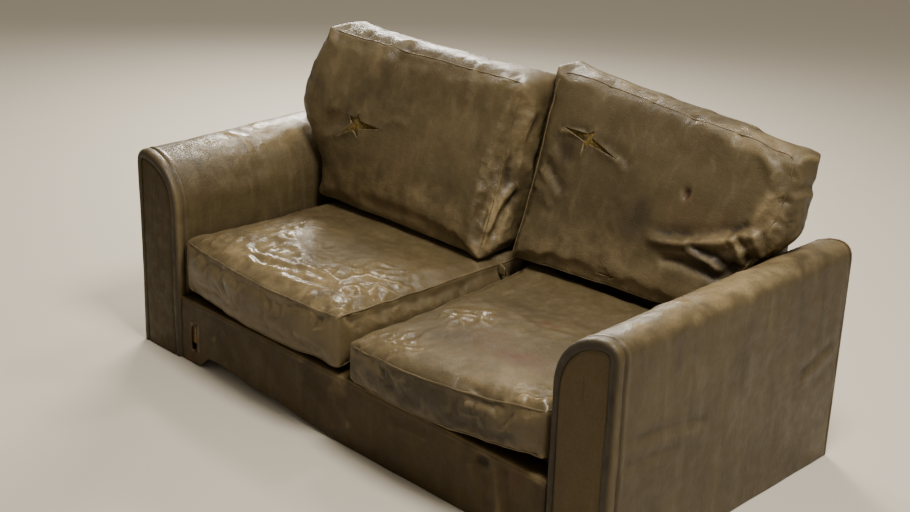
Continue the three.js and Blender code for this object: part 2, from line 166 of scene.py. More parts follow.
def new_material(name):
    material = bpy.data.materials.new(name)
    material.use_nodes = True
    tree = material.node_tree
    tree.nodes.clear()
    shader = add_node(tree, "ShaderNodeBsdfPrincipled")
    output = add_node(tree, "ShaderNodeOutputMaterial")
    tree.links.new(shader.outputs["BSDF"], output.inputs["Surface"])
    place = add_node(tree, "ShaderNodeTexCoord").outputs["Object"]
    return material, tree, shader, place


def mix_colour(tree, factor, first, second):
    node = add_node(tree, "ShaderNodeMix", {"data_type": "RGBA", "blend_type": "MIX"})
    for index, value in ((0, factor), (6, first), (7, second)):
        if isinstance(value, bpy.types.NodeSocket):
            tree.links.new(value, node.inputs[index])
        else:
            node.inputs[index].default_value = value
    return node.outputs[2]


def noise_node(tree, place, grain, detail=4.0, roughness=0.55, distortion=0.0):
    """Noise whose lumps are about grain metres across."""
    node = add_node(tree, "ShaderNodeTexNoise", None, Vector=place, Scale=1.0 / grain, Detail=detail,
                    Roughness=roughness, Distortion=distortion)
    return node.outputs["Fac"]


def span(tree, value, low, high, to_low=0.0, to_high=1.0):
    node = add_node(tree, "ShaderNodeMapRange", {"interpolation_type": "SMOOTHSTEP"}, Value=value)
    for key, number in (("From Min", low), ("From Max", high), ("To Min", to_low), ("To Max", to_high)):
        node.inputs[key].default_value = number
    return node.outputs["Result"]


def maths(tree, operation, *values):
    node = add_node(tree, "ShaderNodeMath", {"operation": operation})
    for index, value in enumerate(values):
        if isinstance(value, bpy.types.NodeSocket):
            tree.links.new(value, node.inputs[index])
        else:
            node.inputs[index].default_value = value
    return node.outputs[0]


# %% Pigmented leather
# The dark colour serves both grime and painted shade, the pale one both scuffs and painted light.
GRIME_AND_SHADE_COLOUR = "#20180d"
SCUFF_AND_LIGHT_COLOUR = "#96835f"
STAIN_COLOUR = "#5f3a28"
PORE = 0.0045
CRACKLE = 0.019
SHINE_GAIN = 0.27
LEAST_ROUGHNESS = 0.12


def pigmented_leather(name, deep, middle, light, roughness, specular):
    """Buffed hide with a worn pigment coat, whose colour drifts between deep, middle and light."""
    material, tree, shader, place = new_material(name)
    wear = add_node(tree, "ShaderNodeAttribute", {"attribute_name": "Wear"})
    channels = add_node(tree, "ShaderNodeSeparateColor", None, Color=wear.outputs["Color"])
    scuff_and_painted_light, grime_and_painted_shade, stain = (channels.outputs[i] for i in range(3))
    shine = wear.outputs["Alpha"]

    cloud = noise_node(tree, place, 0.22, 5.0, 0.6, 0.4)
    mottle = noise_node(tree, place, 0.035, 6.0, 0.65)
    speck = noise_node(tree, place, 0.006, 3.0, 0.6)
    colour = mix_colour(tree, span(tree, cloud, 0.3, 0.7), srgb(deep), srgb(middle))
    drips = add_node(tree, "ShaderNodeMapping", None, Vector=place, Scale=(1.0, 1.0, 0.12)).outputs[0]
    streaks = noise_node(tree, drips, 0.045, 5.0, 0.6, 0.3)
    colour = mix_colour(tree, span(tree, streaks, 0.5, 0.72, 0.0, 0.5), colour, srgb(light))
    colour = mix_colour(tree, span(tree, mottle, 0.5, 0.8, 0.0, 0.3), colour, srgb(light))
    dirt_and_shade = maths(tree, "MULTIPLY", span(tree, streaks, 0.48, 0.25), 0.30)
    dirt_and_shade = maths(tree, "ADD", dirt_and_shade, maths(tree, "MULTIPLY", span(tree, mottle, 0.5, 0.3), 0.12))
    # Green darkens: grime, and painted shade in creases, dents, under folds and on faces turned to the
    # front.
    dirt_and_shade = maths(tree, "MAXIMUM", dirt_and_shade, maths(tree, "MULTIPLY", grime_and_painted_shade, 0.85))
    colour = mix_colour(tree, dirt_and_shade, colour, srgb(GRIME_AND_SHADE_COLOUR))
    # Red pales: scuffs, and painted light on some faces in shade and on lit edges.
    pale_share = maths(tree, "MULTIPLY", scuff_and_painted_light, span(tree, speck, 0.25, 0.6, 0.55, 1.0))
    colour = mix_colour(tree, pale_share, colour, srgb(SCUFF_AND_LIGHT_COLOUR))
    colour = mix_colour(tree, maths(tree, "MULTIPLY", stain, 0.8), colour, srgb(STAIN_COLOUR))
    tree.links.new(colour, shader.inputs["Base Color"])

    rough = span(tree, mottle, 0.3, 0.75, roughness - 0.08, roughness + 0.16)
    rough = maths(tree, "SUBTRACT", rough, maths(tree, "MULTIPLY", shine, SHINE_GAIN))
    rough = maths(tree, "ADD", rough, maths(tree, "MULTIPLY", grime_and_painted_shade, 0.15))
    tree.links.new(maths(tree, "MAXIMUM", rough, LEAST_ROUGHNESS), shader.inputs["Roughness"])
    shader.inputs["Specular IOR Level"].default_value = specular

    pores = add_node(tree, "ShaderNodeTexVoronoi", {"feature": "DISTANCE_TO_EDGE"}, Vector=place,
                     Scale=1.0 / PORE, Randomness=1.0).outputs["Distance"]
    crackle = add_node(tree, "ShaderNodeTexVoronoi", {"feature": "DISTANCE_TO_EDGE"}, Vector=place,
                       Scale=1.0 / CRACKLE, Randomness=1.0).outputs["Distance"]
    creases = noise_node(tree, place, 0.03, 8.0, 0.62, 1.2)
    height = maths(tree, "MULTIPLY", span(tree, pores, 0.0, 0.35), 0.16)
    height = maths(tree, "ADD", height, maths(tree, "MULTIPLY", span(tree, crackle, 0.0, 0.09), 0.14))
    height = maths(tree, "ADD", height, creases)
    unpolished = maths(tree, "SUBTRACT", 1.0, maths(tree, "MULTIPLY", shine, 0.55))
    height = maths(tree, "MULTIPLY", height, unpolished)
    bump = add_node(tree, "ShaderNodeBump", None, Strength=0.5, Distance=0.003, Height=height)
    tree.links.new(bump.outputs["Normal"], shader.inputs["Normal"])
    return material


LEATHER = pigmented_leather("pigmented_leather_worn", "#4f432c", "#5e5136", "#716348", 0.42, 0.4)
# A darker, less shiny copy of the same leather for the panels that face the front: painted shade.
FRONT_SHADE_LEATHER = pigmented_leather("pigmented_leather_painted_front_shade", "#3a2d14", "#45371b", "#524323", 0.5, 0.22)
print("leather materials made")


# %% Foam, wood, steel, cloth and plastic


def open_cell_foam():
    """Polyurethane foam, yellowed by age: matt, crumbly and full of open cells."""
    material, tree, shader, place = new_material("open_cell_foam_yellowed")
    lumps = noise_node(tree, place, 0.012, 5.0, 0.7)
    colour = mix_colour(tree, span(tree, lumps, 0.35, 0.65), srgb("#4a3a14"), srgb("#7a6328"))
    tree.links.new(colour, shader.inputs["Base Color"])
    shader.inputs["Roughness"].default_value = 0.95
    bump = add_node(tree, "ShaderNodeBump", None, Strength=0.9, Distance=0.004, Height=lumps)
    tree.links.new(bump.outputs["Normal"], shader.inputs["Normal"])
    return material


def sawn_hardwood():
    """Beech as it comes from the saw: long fine grain along the piece, dusty and dull."""
    material, tree, shader, place = new_material("beech_rough_sawn")
    stretch = add_node(tree, "ShaderNodeMapping", None, Vector=place, Scale=(0.08, 1.0, 1.0)).outputs[0]
    grain = noise_node(tree, stretch, 0.004, 6.0, 0.6)
    colour = mix_colour(tree, span(tree, grain, 0.3, 0.7), srgb("#7d5c36"), srgb("#b08a5a"))
    tree.links.new(colour, shader.inputs["Base Color"])
    shader.inputs["Roughness"].default_value = 0.75
    bump = add_node(tree, "ShaderNodeBump", None, Strength=0.4, Distance=0.001, Height=grain)
    tree.links.new(bump.outputs["Normal"], shader.inputs["Normal"])
    return material


def drawn_steel():
    """Spring wire, drawn and oiled: dark grey with a little rust bloom."""
    material, tree, shader, place = new_material("spring_steel_drawn")
    bloom = noise_node(tree, place, 0.02, 4.0, 0.6)
    colour = mix_colour(tree, span(tree, bloom, 0.5, 0.75), srgb("#6f6a62"), srgb("#6a4a34"))
    tree.links.new(colour, shader.inputs["Base Color"])
    shader.inputs["Metallic"].default_value = 0.9
    shader.inputs["Roughness"].default_value = 0.42
    return material


def woven_cloth(name, dark, light, thread):
    """Plain weave: two crossed sets of ribs. thread is the spacing, drawn coarse enough to show."""
    material, tree, shader, place = new_material(name)
    ribs = []
    for direction in ("X", "Y"):
        wave = add_node(tree, "ShaderNodeTexWave", {"bands_direction": direction}, Vector=place,
                        Scale=0.05 / thread, Distortion=0.4)
        ribs.append(wave.outputs["Fac"])
    weave = maths(tree, "MULTIPLY", *ribs)
    colour = mix_colour(tree, weave, srgb(dark), srgb(light))
    tree.links.new(colour, shader.inputs["Base Color"])
    shader.inputs["Roughness"].default_value = 0.95
    bump = add_node(tree, "ShaderNodeBump", None, Strength=0.5, Distance=0.001, Height=weave)
    tree.links.new(bump.outputs["Normal"], shader.inputs["Normal"])
    return material


def moulded_plastic():
    """Glides of moulded polypropylene, scratched by the floor."""
    material, tree, shader, place = new_material("polypropylene_moulded")
    scratch = noise_node(tree, place, 0.003, 3.0, 0.6)
    colour = mix_colour(tree, scratch, srgb("#1d1b19"), srgb("#35322e"))
    tree.links.new(colour, shader.inputs["Base Color"])
    shader.inputs["Roughness"].default_value = 0.5
    return material


FOAM = open_cell_foam()
WOOD = sawn_hardwood()
STEEL = drawn_steel()
BLACK_CLOTH = woven_cloth("polypropylene_spunbond_black", "#1b1a18", "#37342f", 0.002)
FIBRE_PAD = woven_cloth("cotton_felt_needled", "#8d8674", "#bdb6a3", 0.004)
ZIP_TAPE = woven_cloth("polyester_tape_woven", "#2c261b", "#4b4232", 0.001)
PLASTIC = moulded_plastic()
print("other materials made")

# %% Finish of the frame, springs and cloths
# The facing nodes take the leather copy with painted front shade.
NODE_FINISH = (
    ("spring", STEEL), ("glide", PLASTIC), ("zip", ZIP_TAPE),
    ("dust_cover", BLACK_CLOTH), ("webbing", BLACK_CLOTH), ("deck_cloth", BLACK_CLOTH),
    ("padding", FIBRE_PAD), ("deck_pad", FIBRE_PAD), ("foam", FOAM), ("filling", FOAM),
    ("cover", LEATHER), ("facing", FRONT_SHADE_LEATHER), ("", WOOD),
)


def finish_of(node_name):
    return next(material for word, material in NODE_FINISH if word in node_name)


for node_name, node in NODES.items():
    node.data.materials.clear()
    node.data.materials.append(finish_of(node_name))
print("finished", len(NODES), "nodes")

# %% [markdown]
# ## Helpers for soft pieces
# A soft piece is moved point by point, as a sculptor does, but by rules: the points are read into an array,
# pushed along their normals by folds, creases and fine noise, and written back.

# %% Reading and writing points


def link(name, mesh, material):
    piece = bpy.data.objects.new(name, mesh)
    bpy.context.scene.collection.objects.link(piece)
    mesh.materials.clear()
    mesh.materials.append(material)
    return piece


def read_points(mesh, what="position"):
    values = np.empty(len(mesh.vertices) * 3)
    if what == "position":
        mesh.vertices.foreach_get("co", values)
    else:
        mesh.vertices.foreach_get("normal", values)
    return values.reshape(-1, 3)


def write_points(mesh, points):
    mesh.vertices.foreach_set("co", points.ravel())
    mesh.update()


def noise_at(points, grain, seed):
    shift = Vector((seed * 7.31, seed * 3.17, seed * 5.73))
    return np.array([noise.noise(Vector(point) / grain + shift) for point in points])


def shade_smooth(mesh):
    mesh.polygons.foreach_set("use_smooth", [True] * len(mesh.polygons))


def baked(piece):
    """The piece's mesh with its modifiers applied."""
    graph = bpy.context.evaluated_depsgraph_get()
    graph.update()
    mesh = bpy.data.meshes.new_from_object(piece.evaluated_get(graph))
    piece.modifiers.clear()
    old = piece.data
    piece.data = mesh
    bpy.data.meshes.remove(old)
    mesh.name = piece.name
    return mesh


# %% Folds: a ridge with a furrow beside it


def along_path(flat, path):
    """Signed distance of each flat point from a path, and how far along the path it lies, from 0 to 1."""
    path = np.array(path, float)
    lengths = np.linalg.norm(np.diff(path, axis=0), axis=1)
    starts = np.concatenate([[0.0], np.cumsum(lengths)])
    best = np.full(len(flat), np.inf)
    signed = np.zeros(len(flat))
    share = np.zeros(len(flat))
    for start, end, length, before in zip(path[:-1], path[1:], lengths, starts):
        direction = (end - start) / length
        reach = flat - start
        forward = np.clip(reach @ direction, 0, length)
        offset = reach - forward[:, None] * direction
        distance = np.linalg.norm(offset, axis=1)
        side = np.sign(direction[0] * reach[:, 1] - direction[1] * reach[:, 0])
        nearer = distance < best
        best = np.where(nearer, distance, best)
        signed = np.where(nearer, distance * side, signed)
        share = np.where(nearer, (before + forward) / starts[-1], share)
    return signed, share


def fold_height(flat, path, width, height, furrow=0.6, fade=0.2):
    """The height of a leather fold: a rounded ridge along the path, with a furrow on its left-hand side."""
    signed, share = along_path(flat, path)
    ridge = np.exp(-(signed / width) ** 2)
    ditch = np.exp(-((signed - 1.5 * width) / width) ** 2)
    ends = np.clip(np.minimum(share, 1 - share) / fade, 0, 1)
    ends = np.where((share <= 0) | (share >= 1), ends * 0, ends)
    return height * (ridge - furrow * ditch) * ends * ends * (3 - 2 * ends)


# %% Wear painted on the points


def hollowness(mesh, rounds=2):
    """Above zero in creases, below zero on ridges, in metres."""
    points = read_points(mesh)
    edges = np.empty(len(mesh.edges) * 2, dtype=np.int64)
    mesh.edges.foreach_get("vertices", edges)
    edges = edges.reshape(-1, 2)
    count = np.bincount(edges.ravel(), minlength=len(points))[:, None]
    smooth = points.copy()
    for _ in range(rounds):
        total = np.stack([
            np.bincount(edges[:, 0], smooth[edges[:, 1], k], len(points))
            + np.bincount(edges[:, 1], smooth[edges[:, 0], k], len(points))
            for k in range(3)
        ], axis=1)
        smooth = total / np.maximum(count, 1)
    return np.einsum("ij,ij->i", smooth - points, read_points(mesh, "normal"))


CHANNELS = {"scuff_and_painted_light": 0, "grime_and_painted_shade": 1, "stain": 2, "gloss": 3}


UNWORN = (0.0, 0.0, 0.0, 0.0)


def paint_wear(mesh, spots, crease_scale=0.0006, ground=UNWORN, front_painted_shade=0.0):
    """Each spot is (channel, centre, radii, strength). Ridges are scuffed, and creases get painted shade.
    """
    points = read_points(mesh)
    wear = np.tile(np.array(ground, float), (len(points), 1))
    hollow = hollowness(mesh) / crease_scale
    ragged = noise_at(points, 0.05, 3) + 0.5 * noise_at(points, 0.018, 5)
    wear[:, 0] += np.clip(-hollow - 0.4, 0, 1) * (0.35 + 0.3 * ragged)
    # Painted shade: the deeper a point lies in a crease, the darker it is made.
    wear[:, 1] += np.clip(hollow - 0.25, 0, 1) * 0.8
    for channel, centre, radii, strength in spots:
        away = np.linalg.norm((points - np.array(centre)) / np.array(radii), axis=1)
        wear[:, CHANNELS[channel]] += strength * np.clip(1.25 - away + 0.55 * ragged, 0, 1) ** 1.5
    # Painted shade: faces that turn to the front are darkened and lose their scuffs.
    if front_painted_shade:
        to_front = np.clip(-read_points(mesh, "normal")[:, 1] * 1.6 - 0.4, 0, 1)
        wear[:, 1] += front_painted_shade * to_front
        wear[:, 0] *= 1 - to_front
    attribute = mesh.attributes.new("Wear", "FLOAT_COLOR", "POINT")
    attribute.data.foreach_set("color", np.clip(wear, 0, 1).ravel())


# %% [markdown]
# ## Cushions
# Each cushion starts from the solid that the model holds for its filling. It is remeshed evenly, its edges
# are rounded, and a cloth simulation blows it up a little from inside, so its faces crown and the leather
# puckers along the seams. The simulation may move a point only a little way, so the cushion stays in place.

# %% Swelling a cushion


def solid_copy(node_name, name, material):
    mesh = NODES[node_name].data.copy()
    shape = bmesh.new()
    shape.from_mesh(mesh)
    bmesh.ops.remove_doubles(shape, verts=shape.verts, dist=1e-5)
    shape.to_mesh(mesh)
    shape.free()
    return link(name, mesh, material)


def blow_up(piece, pressure, cap, slack, frames=16):
    """Cloth under pressure. slack is how much larger than its filling the leather is cut."""
    before = read_points(piece.data)
    cloth = piece.modifiers.new("Cloth", "CLOTH")
    settings = cloth.settings
    settings.quality = 4
    settings.mass = 0.4
    settings.tension_stiffness = 25
    settings.compression_stiffness = 25
    settings.shear_stiffness = 12
    settings.bending_stiffness = 2.5
    settings.shrink_min = -slack
    settings.use_pressure = True
    settings.uniform_pressure_force = pressure
    settings.effector_weights.gravity = 0.0
    cloth.point_cache.frame_start = 1
    cloth.point_cache.frame_end = frames
    scene = bpy.context.scene
    for number in range(1, frames + 1):
        scene.frame_set(number)
    graph = bpy.context.evaluated_depsgraph_get()
    after = read_points(piece.evaluated_get(graph).to_mesh())
    piece.modifiers.remove(cloth)
    scene.frame_set(1)
    move = after - before
    far = np.linalg.norm(move, axis=1, keepdims=True)
    write_points(piece.data, before + move * np.minimum(1.0, cap / np.maximum(far, 1e-9)))
    return float(far.mean())


VOXEL = 0.009


def make_cushion(name, node_name, rounding, pressure, cap, slack):
    piece = solid_copy(node_name, name, LEATHER)
    remesh = piece.modifiers.new("Remesh", "REMESH")
    remesh.mode = "VOXEL"
    remesh.voxel_size = VOXEL
    smooth = piece.modifiers.new("Smooth", "SMOOTH")
    smooth.factor = 0.5
    smooth.iterations = rounding
    baked(piece)
    moved = 0.0
    moved = blow_up(piece, pressure, cap, slack)
    finer = piece.modifiers.new("Subdivision", "SUBSURF")
    finer.levels = finer.render_levels = 1
    baked(piece)
    print(name, len(piece.data.vertices), "points, moved", round(moved, 4))
    return piece


SEAT_SWELLING = {"rounding": 4, "pressure": 4.0, "cap": 0.010, "slack": 0.012}
BACK_SWELLING = {"rounding": 7, "pressure": 4.0, "cap": 0.012, "slack": 0.010}
CUSHIONS = {}
for label in SIDES:
    CUSHIONS["seat", label] = make_cushion(
        f"seat_cushion_{label}", f"seat_cushion_{label}_foam", **SEAT_SWELLING)
    CUSHIONS["back", label] = make_cushion(
        f"back_cushion_{label}", f"back_cushion_{label}_filling", **BACK_SWELLING)

# %% [markdown]
# ## Folds and dents of each cushion
# Years of sitting have left folds that run from the pressed places to the seams. Each fold is a path on one
# side of the cushion, given in shares of its box, with a width and a height in metres. A dent is a
# shallow bowl. Loose leather also has a finer crumple in patches, made from noise with sharp ridges.

# %% Sculpting one side of a cushion
PLANES = {
    "front": (0, 2, (0, -1, 0)), "top": (0, 1, (0, 0, 1)),
    "right": (1, 2, (1, 0, 0)), "left": (1, 2, (-1, 0, 0)),
}


def smooth_step(values, low, high):
    share = np.clip((values - low) / (high - low), 0, 1)
    return share * share * (3 - 2 * share)


def sculpt(piece, node_name, plane, folds=(), dents=(), crumples=()):
    """Moves one side's points. A fold is (path, width, height, furrow), a dent is (centre, radii, depth)
    and a crumple is (centre, radii, grain, height)."""
    first, second, outward = PLANES[plane]
    low, high = (np.array(corner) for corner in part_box(node_name))
    origin, size = low[[first, second]], (high - low)[[first, second]]
    mesh = piece.data
    points = read_points(mesh)
    normals = read_points(mesh, "normal")
    facing = smooth_step(normals @ np.array(outward), 0.1, 0.6)
    flat = points[:, [first, second]]
    rise = np.zeros(len(points))
    for path, width, height, furrow in folds:
        rise += fold_height(flat, origin + np.array(path) * size, width, height, furrow)
    for centre, radii, depth in dents:
        away = np.linalg.norm((flat - origin - np.array(centre) * size) / np.array(radii), axis=1)
        rise -= depth * np.exp(-away ** 2)
    for number, (centre, radii, grain, height) in enumerate(crumples):
        away = np.linalg.norm((flat - origin - np.array(centre) * size) / np.array(radii), axis=1)
        near = np.exp(-away ** 2)
        chosen = np.flatnonzero((near > 0.02) & (facing > 0.01))
        ridges = 1 - 2 * np.abs(noise_at(points[chosen], grain, 11 + number))
        rise[chosen] += height * near[chosen] * ridges
    write_points(mesh, points + normals * (rise * facing)[:, None])


def unevenness(piece, grain, height, seed):
    mesh = piece.data
    points = read_points(mesh)
    lumps = noise_at(points, grain, seed) + 0.5 * noise_at(points, grain * 0.4, seed + 1)
    write_points(mesh, points + read_points(mesh, "normal") * (lumps * height)[:, None])


def nudge(piece, node_name, pushes):
    """Slumps a cushion: each push is (centre in shares of the box, radii, move in metres)."""
    low, high = (np.array(corner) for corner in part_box(node_name))
    mesh = piece.data
    points = read_points(mesh)
    moved = points.copy()
    for centre, radii, move in pushes:
        away = np.linalg.norm((points - low - np.array(centre) * (high - low)) / np.array(radii), axis=1)
        moved += np.exp(-away ** 2)[:, None] * np.array(move)
    write_points(mesh, moved)


# %% Left back cushion
back_left = CUSHIONS["back", "left"]
BACK_LEFT_BOX = "back_cushion_left_cover"
nudge(back_left, BACK_LEFT_BOX, [
    ((0.0, 0.12, 0.60), (0.18, 0.20, 0.17), (-0.032, -0.060, 0.0)),
    ((1.0, 0.7, 0.86), (0.12, 0.30, 0.20), (0.013, 0.0, 0.0)),
    ((0.0, 0.5, 1.0), (0.14, 0.20, 0.14), (-0.006, 0.0, 0.006)),
])
unevenness(back_left, 0.16, 0.004, 1)
sculpt(
    back_left, BACK_LEFT_BOX, "front",
    folds=[
        (((0.36, 1.04), (0.335, 0.90), (0.27, 0.76), (0.19, 0.63), (0.13, 0.50)), 0.025, 0.0085, 0.7),
        (((0.13, 0.98), (0.11, 0.84), (0.08, 0.66)), 0.026, 0.004, 0.5),
        (((0.735, 0.99), (0.77, 0.86), (0.785, 0.76)), 0.016, 0.004, 0.5),
        (((0.10, 0.40), (0.24, 0.47), (0.33, 0.52)), 0.016, 0.004, 0.6),
        (((0.955, 0.92), (0.945, 0.62), (0.925, 0.34), (0.90, 0.10)), 0.020, 0.006, 0.9),
        (((0.40, 0.56), (0.48, 0.60), (0.56, 0.59)), 0.014, 0.003, 0.6),
        (((0.20, 0.10), (0.45, 0.06), (0.75, 0.09)), 0.020, 0.004, 0.6),
    ],
    dents=[((0.19, 0.50), (0.055, 0.05), 0.008), ((0.55, 0.35), (0.12, 0.13), 0.004)],
    crumples=[((0.2, 0.55), (0.10, 0.13), 0.05, 0.0015), ((0.95, 0.5), (0.05, 0.3), 0.04, 0.002)],
)
sculpt(
    back_left, BACK_LEFT_BOX, "right",
    folds=[
        (((0.40, 0.40), (0.22, 0.25), (0.10, 0.11)), 0.016, 0.012, 1.1),
        (((0.30, 0.32), (0.17, 0.17), (0.08, 0.05)), 0.010, 0.006, 0.6),
        (((0.60, 0.80), (0.42, 0.62), (0.36, 0.50)), 0.018, 0.006, 0.8),
        (((0.52, 0.55), (0.60, 0.35), (0.55, 0.12)), 0.020, 0.007, 0.8),
    ],
    dents=[((0.34, 0.46), (0.03, 0.06), 0.008)],
    crumples=[((0.3, 0.3), (0.10, 0.16), 0.035, 0.003)],
)
print("left back cushion folded")

# %% Right back cushion
back_right = CUSHIONS["back", "right"]
BACK_RIGHT_BOX = "back_cushion_right_cover"
nudge(back_right, BACK_RIGHT_BOX, [
    ((0.0, 0.8, 1.0), (0.14, 0.30, 0.34), (-0.036, 0.0, 0.006)),
    ((0.0, 0.5, 0.35), (0.12, 0.30, 0.30), (-0.012, 0.0, 0.0)),
    ((1.0, 0.7, 0.90), (0.16, 0.30, 0.20), (0.020, 0.0, -0.014)),
    ((1.0, 0.5, 0.50), (0.14, 0.30, 0.16), (0.014, 0.0, 0.0)),
    ((1.0, 0.5, 0.49), (0.14, 0.30, 0.07), (0.032, 0.0, 0.0)),
])
unevenness(back_right, 0.16, 0.004, 5)
sculpt(
    back_right, BACK_RIGHT_BOX, "front",
    folds=[
        (((0.53, 0.34), (0.64, 0.355), (0.748, 0.385), (0.863, 0.45), (0.97, 0.53)), 0.016, 0.016, 0.4),
        (((0.60, 0.262), (0.70, 0.275), (0.80, 0.26), (0.865, 0.235)), 0.014, -0.012, 0.2),
        (((0.70, 0.345), (0.81, 0.32), (0.86, 0.27)), 0.011, 0.010, 0.9),
        (((0.86, 0.47), (0.90, 0.40), (0.91, 0.31)), 0.010, 0.010, 0.9),
        (((0.93, 0.52), (0.955, 0.44), (0.965, 0.35)), 0.011, 0.009, 0.9),
        (((0.62, 1.0), (0.76, 0.94), (0.87, 0.86)), 0.017, 0.005, 0.9),
        (((0.72, 0.98), (0.85, 0.90), (0.94, 0.79), (0.955, 0.68)), 0.017, 0.007, 0.9),
        (((0.95, 0.72), (0.93, 0.60), (0.90, 0.52)), 0.018, 0.007, 0.7),
        (((0.02, 0.50), (0.07, 0.48), (0.17, 0.37)), 0.017, 0.007, 0.8),
        (((0.01, 0.43), (0.09, 0.40), (0.15, 0.32)), 0.015, 0.005, 0.8),
        (((0.03, 0.62), (0.12, 0.55), (0.20, 0.53)), 0.020, 0.004, 0.6),
        (((0.40, 0.32), (0.45, 0.42), (0.43, 0.52)), 0.022, 0.004, 0.6),
        (((0.06, 0.70), (0.18, 0.725), (0.21, 0.71)), 0.010, 0.005, 0.8),
        (((0.25, 0.68), (0.36, 0.65), (0.42, 0.60)), 0.014, 0.004, 0.8),
    ],
    dents=[
        ((0.875, 0.30), (0.028, 0.030), 0.020), ((0.945, 0.36), (0.022, 0.020), 0.014),
        ((0.10, 0.60), (0.07, 0.06), 0.007), ((0.505, 0.43), (0.06, 0.07), 0.004),
        ((0.657, 0.595), (0.012, 0.016), 0.012), ((0.52, 0.24), (0.06, 0.05), 0.005),
    ],
    crumples=[((0.85, 0.40), (0.12, 0.06), 0.04, 0.0025), ((0.9, 0.85), (0.10, 0.09), 0.06, 0.0015),
              ((0.1, 0.5), (0.09, 0.12), 0.05, 0.002)],
)
sculpt(
    back_right, BACK_RIGHT_BOX, "right",
    folds=[
        (((0.52, 0.70), (0.70, 0.69), (0.86, 0.66)), 0.014, 0.004, 1.0),
        (((0.45, 0.52), (0.62, 0.50), (0.78, 0.52)), 0.016, 0.003, 0.8),
        (((0.62, 0.90), (0.76, 0.86), (0.90, 0.83)), 0.014, 0.005, 0.8),
    ],
    crumples=[((0.6, 0.6), (0.12, 0.16), 0.04, 0.002)],
)
print("right back cushion folded")

# %% Seat cushions
seat_left = CUSHIONS["seat", "left"]
SEAT_LEFT_BOX = "seat_cushion_left_cover"
unevenness(seat_left, 0.14, 0.003, 9)
sculpt(
    seat_left, SEAT_LEFT_BOX, "top",
    folds=[
        (((0.26, 0.17), (0.36, 0.135), (0.50, 0.15), (0.62, 0.16)), 0.012, 0.005, 0.8),
        (((0.34, 0.11), (0.45, 0.085), (0.60, 0.115)), 0.011, 0.005, 0.8),
        (((0.50, 0.20), (0.62, 0.18), (0.74, 0.20), (0.82, 0.21)), 0.012, 0.005, 0.8),
        (((0.57, 0.08), (0.70, 0.09), (0.82, 0.12)), 0.012, 0.004, 0.8),
        (((0.30, 0.30), (0.38, 0.28), (0.44, 0.33)), 0.012, 0.005, 0.8),
        (((0.80, 0.30), (0.88, 0.33), (0.97, 0.42)), 0.012, 0.005, 0.8),
        (((0.84, 0.24), (0.91, 0.29), (0.97, 0.34)), 0.010, 0.004, 0.8),
        (((0.20, 0.42), (0.31, 0.40), (0.40, 0.46)), 0.014, 0.005, 0.7),
        (((0.45, 0.60), (0.62, 0.62), (0.78, 0.57)), 0.020, 0.004, 0.6),
    ],
    dents=[((0.60, 0.46), (0.14, 0.13), 0.008), ((0.30, 0.24), (0.07, 0.06), 0.004)],
    crumples=[((0.45, 0.22), (0.22, 0.13), 0.045, 0.0050), ((0.86, 0.26), (0.12, 0.16), 0.045, 0.0060),
              ((0.90, 0.07), (0.09, 0.07), 0.040, 0.0050),
              ((0.30, 0.42), (0.12, 0.12), 0.04, 0.0035), ((0.14, 0.14), (0.08, 0.08), 0.04, 0.003)],
)
sculpt(
    seat_left, SEAT_LEFT_BOX, "front",
    folds=[
        (((0.05, 0.70), (0.25, 0.62), (0.50, 0.64)), 0.018, 0.003, 0.6),
        (((0.60, 0.35), (0.80, 0.40), (0.97, 0.52)), 0.018, 0.003, 0.6),
    ],
)
seat_right = CUSHIONS["seat", "right"]
SEAT_RIGHT_BOX = "seat_cushion_right_cover"
unevenness(seat_right, 0.14, 0.003, 13)
sculpt(
    seat_right, SEAT_RIGHT_BOX, "top",
    folds=[
        (((0.64, 0.035), (0.73, 0.025), (0.82, 0.04)), 0.010, 0.007, 0.9),
        (((0.10, 0.10), (0.23, 0.085), (0.34, 0.12)), 0.014, 0.004, 0.8),
        (((0.14, 0.36), (0.26, 0.38), (0.36, 0.42)), 0.014, 0.005, 0.8),
        (((0.35, 0.52), (0.55, 0.47), (0.72, 0.52)), 0.018, 0.004, 0.6),
        (((0.82, 0.08), (0.92, 0.10), (0.98, 0.18)), 0.012, 0.005, 0.8),
    ],
    dents=[((0.42, 0.24), (0.14, 0.10), 0.010), ((0.70, 0.20), (0.07, 0.07), -0.004),
           ((0.5, 0.5), (0.1, 0.1), 0.005)],
    crumples=[((0.16, 0.11), (0.11, 0.09), 0.045, 0.0055), ((0.28, 0.38), (0.11, 0.09), 0.045, 0.0050),
              ((0.88, 0.10), (0.10, 0.07), 0.045, 0.004), ((0.55, 0.45), (0.16, 0.12), 0.06, 0.002)],
)
sculpt(
    seat_right, SEAT_RIGHT_BOX, "front",
    folds=[
        (((0.62, 0.66), (0.74, 0.64), (0.84, 0.68)), 0.010, 0.004, 0.8),
        (((0.05, 0.30), (0.30, 0.22), (0.55, 0.28)), 0.018, 0.003, 0.6),
        (((0.55, 0.22), (0.75, 0.20), (0.95, 0.30)), 0.018, 0.003, 0.6),
    ],
)
print("seat cushions folded")

# %% [markdown]
# ## Star tears
# On each back cushion the leather has split into a star, and the yellowed foam shows through. The lips are
# first raised and curled outwards. Then a star-shaped cutter takes a pocket out of the cushion, and a lumpy
# slab of foam is laid in it, a few millimetres below the leather.

# %% Cutting a star
LIP_REACH = 0.010
CUTTER_STANDS_OUT = 0.06
RAY_START = 0.2


